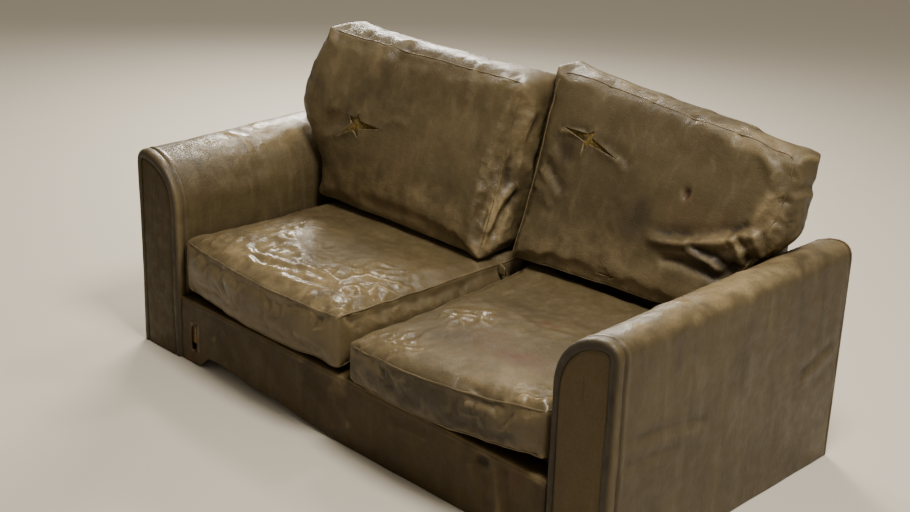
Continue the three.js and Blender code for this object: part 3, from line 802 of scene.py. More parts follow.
def star_outline(arms, throat):
    """Points around a star: a tip for each arm (angle, length), and a valley at the throat between arms."""
    outline = []
    for number, (angle, length) in enumerate(arms):
        after = arms[(number + 1) % len(arms)][0] + (360 if number + 1 == len(arms) else 0)
        tip, valley = math.radians(angle), math.radians((angle + after) / 2)
        outline.append((math.cos(tip) * length, math.sin(tip) * length))
        outline.append((math.cos(valley) * throat, math.sin(valley) * throat))
    return outline


def surface_of(mesh):
    shape = bmesh.new()
    shape.from_mesh(mesh)
    tree = BVHTree.FromBMesh(shape)
    shape.free()
    return tree


def tear_open(piece, node_name, centre, arms, throat, lip=0.0022, depth=0.022):
    """Cuts a star pocket in the front of a back cushion. centre is (across, up) in shares of its box."""
    low, high = (np.array(corner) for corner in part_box(node_name))
    x, z = low[[0, 2]] + np.array(centre) * (high - low)[[0, 2]]
    mesh = piece.data
    points = read_points(mesh)
    normals = read_points(mesh, "normal")
    flat = points[:, [0, 2]] - (x, z)
    near_edge = np.full(len(points), np.inf)
    for angle, length in arms:
        tip = np.array((math.cos(math.radians(angle)), math.sin(math.radians(angle)))) * length
        signed, _ = along_path(flat, ((0, 0), tip))
        near_edge = np.minimum(near_edge, np.abs(signed))
    curl = lip * np.exp(-(near_edge / LIP_REACH) ** 2) * smooth_step(-normals[:, 1], 0.1, 0.6)
    write_points(mesh, points + normals * curl[:, None])
    start = Vector((x, low[1] - RAY_START, z))
    skin = surface_of(mesh)
    hit, normal, _, _ = skin.ray_cast(start, Vector((0, 1, 0)))

    cutter_shape = bmesh.new()
    ring = [cutter_shape.verts.new((px, 0, pz)) for px, pz in star_outline(arms, throat)]
    face = cutter_shape.faces.new(ring)
    pushed = bmesh.ops.extrude_face_region(cutter_shape, geom=[face])
    moved = [item for item in pushed["geom"] if isinstance(item, bmesh.types.BMVert)]
    bmesh.ops.translate(cutter_shape, verts=moved, vec=(0, depth + CUTTER_STANDS_OUT, 0))
    bmesh.ops.recalc_face_normals(cutter_shape, faces=cutter_shape.faces)
    lean = Matrix.Rotation(math.atan2(-normal.z, -normal.y) if normal.y else 0.0, 4, "X")
    step_out = Matrix.Translation((0, -CUTTER_STANDS_OUT, 0))
    cutter_shape.transform(Matrix.Translation(hit) @ lean @ step_out)
    cutter_mesh = bpy.data.meshes.new("star_cutter")
    cutter_shape.to_mesh(cutter_mesh)
    cutter_shape.free()
    cutter = link("star_cutter", cutter_mesh, LEATHER)
    cut = piece.modifiers.new("Cut", "BOOLEAN")
    cut.operation = "DIFFERENCE"
    cut.solver = "EXACT"
    cut.object = cutter
    baked(piece)
    bpy.data.objects.remove(cutter)
    return skin, hit


FOAM_SUNK = 0.0095
FOAM_BULGE, FOAM_BULGE_REACH = 0.006, 0.022
FOAM_LUMP, FOAM_LUMP_GRAIN = 0.0025, 0.018
FOAM_THICKNESS = 0.008


def foam_slab(name, skin, middle, arms, seed):
    """A lumpy slab that lies just under the skin all over, and bulges in the middle of the star."""
    reach_x = max(abs(math.cos(math.radians(a)) * length) for a, length in arms) + 0.008
    reach_z = max(abs(math.sin(math.radians(a)) * length) for a, length in arms) + 0.008
    shape = bmesh.new()
    bmesh.ops.create_grid(shape, x_segments=70, y_segments=50, size=1.0)
    for vert in shape.verts:
        x, z = vert.co.x * reach_x, vert.co.y * reach_z
        start = Vector((middle.x + x, middle.y - RAY_START, middle.z + z))
        hit, _, _, _ = skin.ray_cast(start, Vector((0, 1, 0)))
        lumps = noise.fractal(Vector((x, z, seed)) / FOAM_LUMP_GRAIN, 0.8, 2.0, 4)
        bulge = FOAM_BULGE * math.exp(-(x * x + z * z) / FOAM_BULGE_REACH ** 2)
        vert.co = (start.x, (hit or middle).y + FOAM_SUNK - bulge - FOAM_LUMP * lumps, start.z)
    bmesh.ops.recalc_face_normals(shape, faces=shape.faces)
    if sum(face.normal.y for face in shape.faces) > 0:
        bmesh.ops.reverse_faces(shape, faces=shape.faces)
    bmesh.ops.solidify(shape, geom=shape.faces[:], thickness=FOAM_THICKNESS)
    bmesh.ops.recalc_face_normals(shape, faces=shape.faces)
    mesh = bpy.data.meshes.new(name)
    shape.to_mesh(mesh)
    shape.free()
    shade_smooth(mesh)
    return link(name, mesh, FOAM)


TEARS = {
    "back_left_star": (
        "back", "left", (0.284, 0.526),
        ((5, 0.095), (80, 0.034), (150, 0.036), (218, 0.084), (290, 0.040)), 0.019),
    "back_right_star": (
        "back", "right", (0.21, 0.709), ((-14, 0.118), (60, 0.030), (172, 0.096), (262, 0.044)), 0.015),
    "back_right_slit": (
        "back", "right", (0.436, 0.09), ((8, 0.040), (90, 0.010), (178, 0.042), (270, 0.009)), 0.006),
}
FOAM_SLABS = {}
for seed, (tear_name, (kind, label, centre, arms, throat)) in enumerate(TEARS.items()):
    node_name = f"{kind}_cushion_{label}_cover"
    skin, hit = tear_open(CUSHIONS[kind, label], node_name, centre, arms, throat)
    FOAM_SLABS[tear_name] = foam_slab(f"{tear_name}_foam", skin, hit, arms, seed * 3.7)
    print(tear_name, [round(value, 3) for value in hit])

# %% [markdown]
# ## Seams
# Each cushion is boxed: two broad panels joined to a border strip. A welt, which is a thin cord wrapped in
# leather, is sewn into both joins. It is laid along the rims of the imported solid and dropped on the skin.

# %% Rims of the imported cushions


def rim_loop(node_name, outward):
    """The closed line of points round the broad side of a cushion that faces outward."""
    shape = bmesh.new()
    shape.from_mesh(NODES[node_name].data)
    bmesh.ops.remove_doubles(shape, verts=shape.verts, dist=1e-5)
    shape.normal_update()
    outward = Vector(outward)
    neighbours = {}
    for edge in shape.edges:
        if len(edge.link_faces) != 2 or edge.calc_face_angle() < math.radians(45):
            continue
        leaning = sorted(face.normal.dot(outward) for face in edge.link_faces)
        if leaning[1] > 0.75 and leaning[0] < 0.6:
            first, second = (vert.index for vert in edge.verts)
            neighbours.setdefault(first, []).append(second)
            neighbours.setdefault(second, []).append(first)
    shape.verts.ensure_lookup_table()
    start = next(iter(neighbours))
    loop, before = [start], None
    while True:
        onward = [index for index in neighbours[loop[-1]] if index != before]
        before = loop[-1]
        if onward[0] == start:
            break
        loop.append(onward[0])
        if len(loop) > 500:
            break
    points = np.array([shape.verts[index].co[:] for index in loop])
    shape.free()
    return points


def resampled(points, step, rounds):
    """Points at equal steps round a closed line, smoothed so that its corners are round."""
    ring = np.vstack([points, points[:1]])
    lengths = np.concatenate([[0], np.cumsum(np.linalg.norm(np.diff(ring, axis=0), axis=1))])
    count = int(lengths[-1] / step)
    places = np.linspace(0, lengths[-1], count, endpoint=False)
    line = np.stack([np.interp(places, lengths, ring[:, k]) for k in range(3)], axis=1)
    for _ in range(rounds):
        line = (np.roll(line, 1, 0) + 2 * line + np.roll(line, -1, 0)) / 4
    return line


def tube_along(name, line, radius, material):
    curve = bpy.data.curves.new(name, "CURVE")
    curve.dimensions = "3D"
    curve.bevel_depth = radius
    curve.bevel_resolution = 1
    curve.use_fill_caps = True
    spline = curve.splines.new("POLY")
    spline.points.add(len(line) - 1)
    spline.points.foreach_set("co", np.column_stack([line, np.ones(len(line))]).ravel())
    spline.use_cyclic_u = True
    holder = bpy.data.objects.new(name, curve)
    bpy.context.scene.collection.objects.link(holder)
    graph = bpy.context.evaluated_depsgraph_get()
    mesh = bpy.data.meshes.new_from_object(holder.evaluated_get(graph))
    bpy.data.objects.remove(holder)
    shade_smooth(mesh)
    mesh.name = name
    return link(name, mesh, material)


WELT_STEP = 0.007
WELT_RADIUS = {"seat": 0.0024, "back": 0.0018}


def lay_welt(name, node_name, outward, piece, radius):
    line = resampled(rim_loop(node_name, outward), WELT_STEP, 12)
    skin = surface_of(piece.data)
    laid = []
    for point in line:
        place, normal, _, _ = skin.find_nearest(Vector(point))
        laid.append(place + normal * radius * 0.1)
    laid = resampled(np.array(laid), WELT_STEP, 3)
    welt = tube_along(name, laid, radius, LEATHER)
    print(name, len(laid), "points")
    return welt


WELTS = []
for (kind, label), piece in CUSHIONS.items():
    core = "foam" if kind == "seat" else "filling"
    outward = Vector((0, 0, 1)) if kind == "seat" else Vector((0, -1, 0))
    solid = f"{kind}_cushion_{label}_{core}"
    for word, direction in (("face", outward), ("under", -outward)):
        name = f"{kind}_cushion_{label}_{word}_welt"
        WELTS.append(lay_welt(name, solid, direction, piece, WELT_RADIUS[kind]))

# %% [markdown]
# ## The tab between the seats
# A short folded tab of leather, the end of a seam, sticks up where the two seats meet the back cushions.
# It is a loop of strip: one edge line swept up, over and down again, then given its thickness.

# %% Sheets from a grid
SKIN = 0.003


def grid_piece(name, columns, rows, place, material, outward=None):
    """A closed sheet from a grid. place takes arrays of shares (0 to 1) and gives the points."""
    shape = bmesh.new()
    bmesh.ops.create_grid(shape, x_segments=columns, y_segments=rows, size=1.0)
    mesh = bpy.data.meshes.new(name)
    shape.to_mesh(mesh)
    shape.free()
    shares = read_points(mesh)[:, :2] / 2 + 0.5
    write_points(mesh, place(shares[:, 0], shares[:, 1]))
    piece = link(name, mesh, material)
    if outward is not None and np.mean(read_points(mesh, "normal") @ np.array(outward)) < 0:
        mesh.flip_normals()
    return piece


def thicken(piece, thickness=SKIN):
    solid = piece.modifiers.new("Solidify", "SOLIDIFY")
    solid.thickness = thickness
    solid.offset = -1.0
    solid.use_even_offset = False
    baked(piece)
    shade_smooth(piece.data)


# %% The tab
TAB_WIDTH, TAB_HEIGHT, TAB_FOLD, TAB_THICKNESS = 0.026, 0.034, 0.005, 0.002


def seam_tab(seat_node):
    low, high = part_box(seat_node)
    base = Vector((high[0] + 0.006, high[1] - 0.112, high[2] - 0.072))

    def place(across, along):
        turn = along * math.pi
        up = np.sin(turn)
        x = base.x + (across - 0.5) * TAB_WIDTH
        y = base.y - np.cos(turn) * TAB_FOLD - 0.004 * across * up
        return np.column_stack([x, y, base.z + up * TAB_HEIGHT * (1 - 0.25 * across)])

    piece = grid_piece("seat_seam_tab", 8, 16, place, LEATHER)
    paint_wear(piece.data, [], ground=(0.45, 0.0, 0.0, 0.2))
    thicken(piece, TAB_THICKNESS)
    return piece


# %% [markdown]
# ## Wear, painted shade and painted light on the cushions
# Seats are rubbed pale and glossy where legs slide over their front, the backs along their top edge. The
# hollows between folds, the dents and the fronts of the seats are darkened with painted shade, one fold of
# the right back has a painted highlight and shadow, and the low faces of the backs and the rear of the left
# seat are lightened with painted light. A few red stains have soaked into the right seat.

# %% Painting the cushions


def spots_in(node_name, spots):
    """Turns spots in shares of a node's box to metres."""
    low, high = (np.array(corner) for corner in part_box(node_name))
    return [(channel, low + np.array(place) * (high - low), radii, strength)
            for channel, place, radii, strength in spots]


BACK_LEFT_WEAR = [
    ("scuff_and_painted_light", (0.15, 0.75, 1.0), (0.18, 0.10, 0.035), 0.5),
    ("scuff_and_painted_light", (0.6, 0.8, 1.0), (0.30, 0.10, 0.03), 0.5),
    ("scuff_and_painted_light", (1.0, 0.45, 0.75), (0.03, 0.08, 0.16), 0.4),
    ("scuff_and_painted_light", (1.0, 0.2, 0.25), (0.04, 0.06, 0.09), 0.45),
    ("gloss", (1.0, 0.2, 0.25), (0.05, 0.08, 0.09), 0.8),
    ("gloss", (0.5, 0.8, 1.0), (0.40, 0.10, 0.04), 0.2),
    ("scuff_and_painted_light", (0.32, 0.3, 0.86), (0.025, 0.08, 0.07), 0.3),
    # Painted shade in the dent, and under the fold to its right.
    ("grime_and_painted_shade", (0.20, 0.2, 0.45), (0.06, 0.08, 0.05), 0.5),
    ("grime_and_painted_shade", (0.40, 0.2, 0.54), (0.06, 0.08, 0.02), 0.4),
    # Painted light on the low front, which turns down into shade.
    ("scuff_and_painted_light", (0.5, 0.1, 0.10), (0.44, 0.20, 0.12), 0.5),
    # Painted shade in the fold on the right side.
    ("grime_and_painted_shade", (1.0, 0.5, 0.42), (0.02, 0.05, 0.05), 0.6),
    ("stain", (0.05, 0.2, 0.35), (0.06, 0.10, 0.08), 0.4),
    ("stain", (0.45, 0.2, 0.35), (0.12, 0.10, 0.08), 0.2),
    ("scuff_and_painted_light", (1.0, 0.12, 0.60), (0.025, 0.05, 0.24), 0.35),
    # A faint painted light over the lower half of the front.
    ("scuff_and_painted_light", (0.5, 0.1, 0.45), (0.40, 0.20, 0.16), 0.15),
]
BACK_RIGHT_WEAR = [
    ("scuff_and_painted_light", (0.4, 0.8, 1.0), (0.30, 0.10, 0.035), 0.5),
    ("scuff_and_painted_light", (0.85, 0.6, 0.93), (0.14, 0.10, 0.05), 0.5),
    ("gloss", (0.65, 0.7, 0.96), (0.10, 0.10, 0.05), 0.7),
    ("scuff_and_painted_light", (0.95, 0.4, 0.60), (0.05, 0.10, 0.09), 0.4),
    # Painted highlight on the ridge of the lower fold, and painted shadow beneath it.
    ("scuff_and_painted_light", (0.85, 0.3, 0.43), (0.12, 0.10, 0.03), 0.5),
    ("grime_and_painted_shade", (0.80, 0.3, 0.30), (0.09, 0.08, 0.03), 0.9),
    # Painted shade in two dents.
    ("grime_and_painted_shade", (0.12, 0.2, 0.62), (0.10, 0.10, 0.07), 0.5),
    ("grime_and_painted_shade", (0.50, 0.2, 0.43), (0.06, 0.10, 0.08), 0.5),
    ("stain", (0.657, 0.3, 0.595), (0.018, 0.05, 0.022), 1.0),
    ("stain", (0.70, 0.3, 0.50), (0.14, 0.10, 0.05), 0.18),
    # Painted light on the low front, which turns down into shade.
    ("scuff_and_painted_light", (0.42, 0.2, 0.10), (0.42, 0.20, 0.12), 0.45),
    ("stain", (0.92, 0.5, 0.90), (0.05, 0.06, 0.02), 0.4),
]
SEAT_LEFT_WEAR = [
    ("scuff_and_painted_light", (0.5, 0.10, 1.0), (0.36, 0.10, 0.06), 0.55),
    ("scuff_and_painted_light", (0.85, 0.25, 1.0), (0.16, 0.16, 0.06), 0.45),
    ("scuff_and_painted_light", (0.3, 0.35, 1.0), (0.16, 0.14, 0.06), 0.45),
    ("gloss", (0.5, 0.12, 0.9), (0.44, 0.14, 0.08), 1.3),
    ("gloss", (0.86, 0.3, 0.95), (0.14, 0.17, 0.08), 1.3),
    ("gloss", (0.3, 0.35, 1.0), (0.14, 0.12, 0.06), 0.6),
    ("gloss", (0.58, 0.42, 1.0), (0.13, 0.12, 0.06), -0.9),
    # Painted shade in the broad dent and at the end of a fold.
    ("grime_and_painted_shade", (0.60, 0.47, 1.0), (0.15, 0.10, 0.06), 0.35),
    ("grime_and_painted_shade", (0.40, 0.45, 1.0), (0.07, 0.05, 0.06), 0.5),
    # Painted shade on the front face.
    ("grime_and_painted_shade", (0.5, 0.0, 0.4), (0.5, 0.06, 0.09), 0.45),
    # Painted light on the rear of the seat, where the back cushions shade it.
    ("scuff_and_painted_light", (0.5, 0.9, 1.0), (0.4, 0.1, 0.06), 0.3),
]
SEAT_RIGHT_WEAR = [
    ("scuff_and_painted_light", (0.2, 0.10, 0.9), (0.20, 0.12, 0.06), 0.4),
    ("scuff_and_painted_light", (0.25, 0.38, 1.0), (0.16, 0.12, 0.06), 0.3),
    ("scuff_and_painted_light", (0.75, 0.12, 1.0), (0.16, 0.10, 0.08), 0.45),
    ("gloss", (0.18, 0.11, 0.9), (0.12, 0.09, 0.08), 1.5),
    ("gloss", (0.26, 0.40, 0.95), (0.10, 0.08, 0.08), 1.5),
    ("gloss", (0.92, 0.10, 1.0), (0.08, 0.08, 0.06), 1.2),
    ("stain", (0.67, 0.25, 1.0), (0.12, 0.045, 0.06), 0.7),
    ("stain", (0.55, 0.53, 1.0), (0.05, 0.03, 0.06), 0.6),
    ("stain", (0.45, 0.30, 1.0), (0.10, 0.06, 0.06), 0.25),
    # Painted shade in the broad dent.
    ("grime_and_painted_shade", (0.35, 0.25, 1.0), (0.12, 0.08, 0.06), 0.4),
    ("grime_and_painted_shade", (0.3, 0.60, 1.0), (0.14, 0.07, 0.06), 0.45),
    # Painted shade on the front face.
    ("grime_and_painted_shade", (0.6, 0.0, 0.40), (0.50, 0.06, 0.10), 1.2),
]
CUSHION_WEAR = {
    ("back", "left"): BACK_LEFT_WEAR, ("back", "right"): BACK_RIGHT_WEAR,
    ("seat", "left"): SEAT_LEFT_WEAR, ("seat", "right"): SEAT_RIGHT_WEAR,
}
CUSHION_GROUND = {
    ("back", "left"): (0.0, 0.0, 0.0, 0.0), ("back", "right"): (0.0, 0.20, 0.0, 0.0),
    ("seat", "left"): (0.12, 0.0, 0.0, 0.05), ("seat", "right"): (0.08, 0.06, 0.0, 0.0),
}
for (kind, label), piece in CUSHIONS.items():
    shade_smooth(piece.data)
    spots = spots_in(f"{kind}_cushion_{label}_cover", CUSHION_WEAR[kind, label])
    paint_wear(piece.data, spots, ground=CUSHION_GROUND[kind, label])
    print(piece.name, "painted")
for welt in WELTS:
    # The welts are darkened all over to damp their lit edges: painted shade.
    paint_wear(welt.data, [], ground=(0.0, 0.4, 0.0, 0.0))

# %% Declaring the cushions
for (kind, label), piece in CUSHIONS.items():
    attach(piece, "root")
    core = "foam" if kind == "seat" else "filling"
    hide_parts(f"{kind}_cushion_{label}_cover", f"{kind}_cushion_{label}_{core}")
for welt in WELTS:
    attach(welt, "root")
tab = seam_tab("seat_cushion_left_cover")
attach(tab, "root")
for slab in FOAM_SLABS.values():
    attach(slab, "root")

# %% [markdown]
# ## Arms
# One piece of leather wraps each arm from the floor outside, over the top and down to the seat. At the
# front it rolls round the edge, where a seam joins it to the flat facing. It is made as a fine grid, which
# runs along the arm's outline one way, and from the rear to the front and round the roll the other way.

# %% The arm's outline
ARM_OUTER_ROUND = 0.042
ARM_INNER_DROP = 0.150


def bezier(controls, count):
    share = np.linspace(0, 1, count)[:, None]
    points = [np.array(control, float)[None, :] for control in controls]
    while len(points) > 1:
        points = [a * (1 - share) + b * share for a, b in zip(points[:-1], points[1:])]
    return points[0]


def arm_outline(label, count):
    """Points (x, z) at equal steps up the outer wall, over the top and down the inner wall, with the
    direction that leads inwards at each."""
    low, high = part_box(f"arm_cover_{label}")
    side = SIDES[label]
    outer, inner = (high[0], low[0]) if side > 0 else (low[0], high[0])
    bottom, top = low[2], high[2]
    outside_round = bezier((
        (outer, top - ARM_OUTER_ROUND), (outer, top), (outer - side * ARM_OUTER_ROUND, top)), 20)
    inside_round = bezier((
        (outer - side * ARM_OUTER_ROUND, top), (outer - side * 0.080, top),
        (inner + side * 0.008, top - 0.030), (inner, top - ARM_INNER_DROP)), 40)
    corners = np.vstack([[(outer, bottom)], outside_round, inside_round[1:], [(inner, bottom)]])
    steps = np.concatenate([[0], np.cumsum(np.linalg.norm(np.diff(corners, axis=0), axis=1))])
    places = np.linspace(0, steps[-1], count)
    outline = np.stack([np.interp(places, steps, corners[:, k]) for k in range(2)], axis=1)
    for _ in range(3):
        outline[1:-1] = (outline[:-2] + 2 * outline[1:-1] + outline[2:]) / 4
    along = np.gradient(outline, axis=0)
    along /= np.linalg.norm(along, axis=1, keepdims=True)
    inward = side * np.stack([-along[:, 1], along[:, 0]], axis=1)
    return outline, inward, steps[-1]


# %% Leather over the arms
ROLL = 0.015
ROLL_END = 0.024
SEAM_BACK = 0.030
ARM_ROWS = 190


def arm_skin(label):
    low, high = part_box(f"arm_cover_{label}")
    outline, inward, girth = arm_outline(label, ARM_ROWS + 1)
    front, rear = low[1], high[1]
    body = np.linspace(rear, front + 0.06, 80)
    fine = np.linspace(front + 0.06, front + ROLL, 20)[1:]
    turn = np.linspace(0, math.pi / 2, 9)[1:]
    roll = front + ROLL - ROLL * np.sin(turn)
    depth = np.concatenate([body, fine, roll, [front + 0.0004, front + 0.0028]])
    inset = np.concatenate([
        np.zeros(len(body) + len(fine)), ROLL * (1 - np.cos(turn)), [ROLL_END - 0.004, ROLL_END]])
    groove = 0.0028 * np.exp(-((depth - front - SEAM_BACK) / 0.0035) ** 2)
    groove -= 0.0015 * np.exp(-((depth - front - SEAM_BACK - 0.010) / 0.006) ** 2)
    groove[inset > 0] = 0
    inset = inset + groove
    columns = len(depth) - 1

    def place(across, along):
        column = np.rint(across * columns).astype(int)
        row = np.rint(along * ARM_ROWS).astype(int)
        flat = outline[row] + inward[row] * inset[column][:, None]
        return np.column_stack([flat[:, 0], depth[column], flat[:, 1]])

    piece = grid_piece(f"arm_leather_{label}", columns, ARM_ROWS, place, LEATHER)
    mesh = piece.data
    points = read_points(mesh)
    middle = np.array([(low[0] + high[0]) / 2, 0, 0.3])
    if np.mean(np.einsum("ij,ij->i", read_points(mesh, "normal"), points - middle)) < 0:
        mesh.flip_normals()
    return piece, girth, high[1] - low[1] + ROLL_END


ARMS = {}
for label in SIDES:
    ARMS[label], girth, length = arm_skin(label)
    print("arm", label, "girth", round(girth, 3), "length", round(length, 3))

# %% Drag folds of the arms
RIGHT_ARM_BOX = "arm_cover_right"
LEFT_ARM_BOX = "arm_cover_left"
for label, node_name in (("right", RIGHT_ARM_BOX), ("left", LEFT_ARM_BOX)):
    unevenness(ARMS[label], 0.18, 0.0022, 21 if label == "right" else 25)
sculpt(
    ARMS["right"], RIGHT_ARM_BOX, "right",
    folds=[
        (((0.03, 0.64), (0.16, 0.625), (0.34, 0.56)), 0.022, 0.0022, 0.8),
        (((0.03, 0.545), (0.17, 0.53), (0.30, 0.50), (0.42, 0.45)), 0.021, 0.0036, 0.9),
        (((0.02, 0.44), (0.14, 0.42), (0.30, 0.40)), 0.024, 0.0030, 0.8),
        (((0.06, 0.33), (0.22, 0.31), (0.38, 0.33)), 0.026, 0.0014, 0.8),
        (((0.80, 0.44), (0.91, 0.50), (0.99, 0.52)), 0.018, 0.0032, 0.9),
        (((0.84, 0.37), (0.93, 0.40), (1.0, 0.41)), 0.018, 0.0012, 0.9),
        (((0.70, 0.60), (0.84, 0.57), (0.99, 0.61)), 0.024, 0.0016, 0.8),
        (((0.50, 0.86), (0.53, 0.62), (0.47, 0.35)), 0.040, 0.0025, 0.7),
        (((0.30, 0.80), (0.34, 0.60), (0.31, 0.42)), 0.040, 0.002, 0.7),
    ],
    dents=[((0.20, 0.22), (0.12, 0.07), 0.003), ((0.62, 0.50), (0.12, 0.10), 0.004)],
    crumples=[((0.08, 0.5), (0.10, 0.16), 0.07, 0.001)],
)
sculpt(
    ARMS["left"], LEFT_ARM_BOX, "left",
    folds=[
        (((0.03, 0.60), (0.20, 0.55), (0.36, 0.56)), 0.024, 0.002, 0.8),
        (((0.04, 0.45), (0.22, 0.40), (0.40, 0.33)), 0.024, 0.002, 0.8),
        (((0.78, 0.50), (0.90, 0.46), (0.99, 0.50)), 0.020, 0.002, 0.8),
    ],
)
sculpt(
    ARMS["left"], LEFT_ARM_BOX, "right",
    folds=[
        (((0.10, 0.80), (0.26, 0.78), (0.45, 0.81)), 0.022, 0.002, 0.8),
        (((0.42, 0.76), (0.50, 0.80), (0.62, 0.79)), 0.022, 0.002, 0.8),
    ],
)
for label in SIDES:
    sculpt(
        ARMS[label], f"arm_cover_{label}", "top",
        folds=[
            (((0.2, 0.30), (0.5, 0.34), (0.8, 0.33)), 0.014, 0.0025, 0.8),
            (((0.3, 0.62), (0.6, 0.66), (0.9, 0.64)), 0.016, 0.0025, 0.8),
        ],
        crumples=[((0.5, 0.35), (0.10, 0.30), 0.045, 0.0022)],
    )
print("arms folded")

# %% Facings
FACING_RINGS = 16


def facing(label):
    """The flat panel on the arm's front: rings from the roll's seam in to a line up the middle."""
    low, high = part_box(f"arm_cover_{label}")
    outline, inward, _ = arm_outline(label, ARM_ROWS + 1)
    start = outline + inward * (ROLL_END - 0.001)
    middle_x = (start[0, 0] + start[-1, 0]) / 2
    top = high[2] - 0.095
    spine = np.column_stack([np.full(len(start), middle_x), np.clip(start[:, 1], low[2], top)])
    front = low[1]

    def place(across, along):
        row = np.rint(along * ARM_ROWS).astype(int)
        share = across[:, None]
        flat = start[row] * (1 - share) + spine[row] * share
        swell = 0.0030 - 0.0020 * smooth_step(across, 0.0, 0.22)
        wrinkles = [noise.noise(Vector((x, z * 0.35, SIDES[label] * 5.0)) / 0.09) for x, z in flat]
        return np.column_stack([flat[:, 0], front + swell + 0.0012 * np.array(wrinkles), flat[:, 1]])

    name = f"arm_facing_leather_{label}"
    # The facing takes the darker leather copy: painted shade on a face turned to the front.
    piece = grid_piece(name, FACING_RINGS, ARM_ROWS, place, FRONT_SHADE_LEATHER, outward=(0, -1, 0))
    shape = bmesh.new()
    shape.from_mesh(piece.data)
    bmesh.ops.remove_doubles(shape, verts=shape.verts, dist=1e-5)
    shape.to_mesh(piece.data)
    shape.free()
    return piece


FACINGS = {label: facing(label) for label in SIDES}
print("facings made")

# %% Painting and declaring the arms
ARM_WEAR = {
    "right": [
        ("scuff_and_painted_light", (0.5, 0.5, 1.0), (0.11, 0.50, 0.05), 0.8),
        ("gloss", (0.5, 0.3, 1.0), (0.10, 0.30, 0.04), 0.5),
        ("stain", (0.5, 0.40, 1.0), (0.06, 0.06, 0.03), 0.25),
        # Painted shade along the drag folds and dents of the outer side.
        ("grime_and_painted_shade", (1.0, 0.52, 0.72), (0.04, 0.05, 0.14), 0.25),
        ("grime_and_painted_shade", (1.0, 0.20, 0.30), (0.04, 0.16, 0.12), 0.15),
        ("grime_and_painted_shade", (1.0, 0.70, 0.45), (0.04, 0.10, 0.08), 0.12),
        ("scuff_and_painted_light", (1.0, 0.33, 0.73), (0.03, 0.10, 0.06), 0.12),
        # Painted highlight down the front edge of the outer side, where the roll catches the light.
        ("scuff_and_painted_light", (1.0, 0.0, 0.5), (0.03, 0.025, 0.32), 0.25),
        # Painted shade on the front roll, which catches too much light.
        ("grime_and_painted_shade", (0.25, 0.0, 0.75), (0.11, 0.035, 0.30), 0.9),
    ],
    "left": [
        ("scuff_and_painted_light", (0.5, 0.5, 1.0), (0.10, 0.50, 0.05), 0.8),
        ("gloss", (0.6, 0.4, 0.97), (0.10, 0.50, 0.05), 0.9),
        # Painted highlight down the front edge of the inner side, where the roll catches the light.
        ("scuff_and_painted_light", (1.0, 0.0, 0.60), (0.04, 0.025, 0.25), 0.4),
        # Painted shade low on the inner side, beside the seat.
        ("grime_and_painted_shade", (1.0, 0.5, 0.45), (0.05, 0.60, 0.14), 0.5),
    ],
}
# The ground lightens the right facing's painted shade and deepens the left one's.
FACING_GROUND = {"right": (0.14, 0.0, 0.0, 0.0), "left": (0.0, 0.2, 0.0, 0.0)}
for label in SIDES:
    piece = ARMS[label]
    # The arms get painted shade on their faces that turn to the front.
    paint_wear(
        piece.data, spots_in(f"arm_cover_{label}", ARM_WEAR[label]), crease_scale=0.0009, front_painted_shade=0.85)
    thicken(piece)
    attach(piece, "root")
    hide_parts(f"arm_cover_{label}", f"arm_padding_{label}")
    panel = FACINGS[label]
    paint_wear(panel.data, [], ground=FACING_GROUND[label])
    thicken(panel)
    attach(panel, "root")
    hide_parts(f"arm_facing_{label}")
    print("arm", label, "finished")

# %% [markdown]
# ## Front border
# The border hangs below the seat cushions and laps under them. It has come away at the left: its hem is
# pulled up, a slit has opened beside the arm, and its corner hangs to the floor. Behind is the bare frame.

# %% The hanging border
BORDER_BOX = "front_border_cover"
BORDER_COLUMNS, BORDER_ROWS = 180, 44
HEM = np.array([
    (0.0, 0.0), (0.045, 0.0), (0.062, 0.004), (0.075, 0.022), (0.090, 0.040), (0.130, 0.043),
    (0.185, 0.034), (0.225, 0.024), (0.31, 0.026), (0.38, 0.013), (0.49, 0.001), (1.0, 0.0),
])


def border_points(across, along):
    low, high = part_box(BORDER_BOX)
    x = low[0] + across * (high[0] - low[0])
    hem = low[2] + np.interp(across, HEM[:, 0], HEM[:, 1])
    top = high[2] - 0.0005
    down = 0.78
    rise = np.clip(along / down, 0, 1)
    z = hem + (top - hem) * rise
    back = np.clip((along - down) / (1 - down), 0, 1)
    y = low[1] + 0.001 + back * (high[1] - low[1] - 0.001)
    corner = np.exp(-((along - down) / 0.035) ** 2)
    return np.column_stack([x, y + 0.003 * corner * (back <= 0), z - 0.002 * corner])


# The border takes the darker leather copy: painted shade on a face turned to the front.
border = grid_piece("front_border_leather", BORDER_COLUMNS, BORDER_ROWS, border_points, FRONT_SHADE_LEATHER)
if np.mean(read_points(border.data, "normal")[:, 1]) > 0:
    border.data.flip_normals()
SLIT_PLACE = (0.040, 0.42)
SLIT_HALF = (0.006, 0.048)


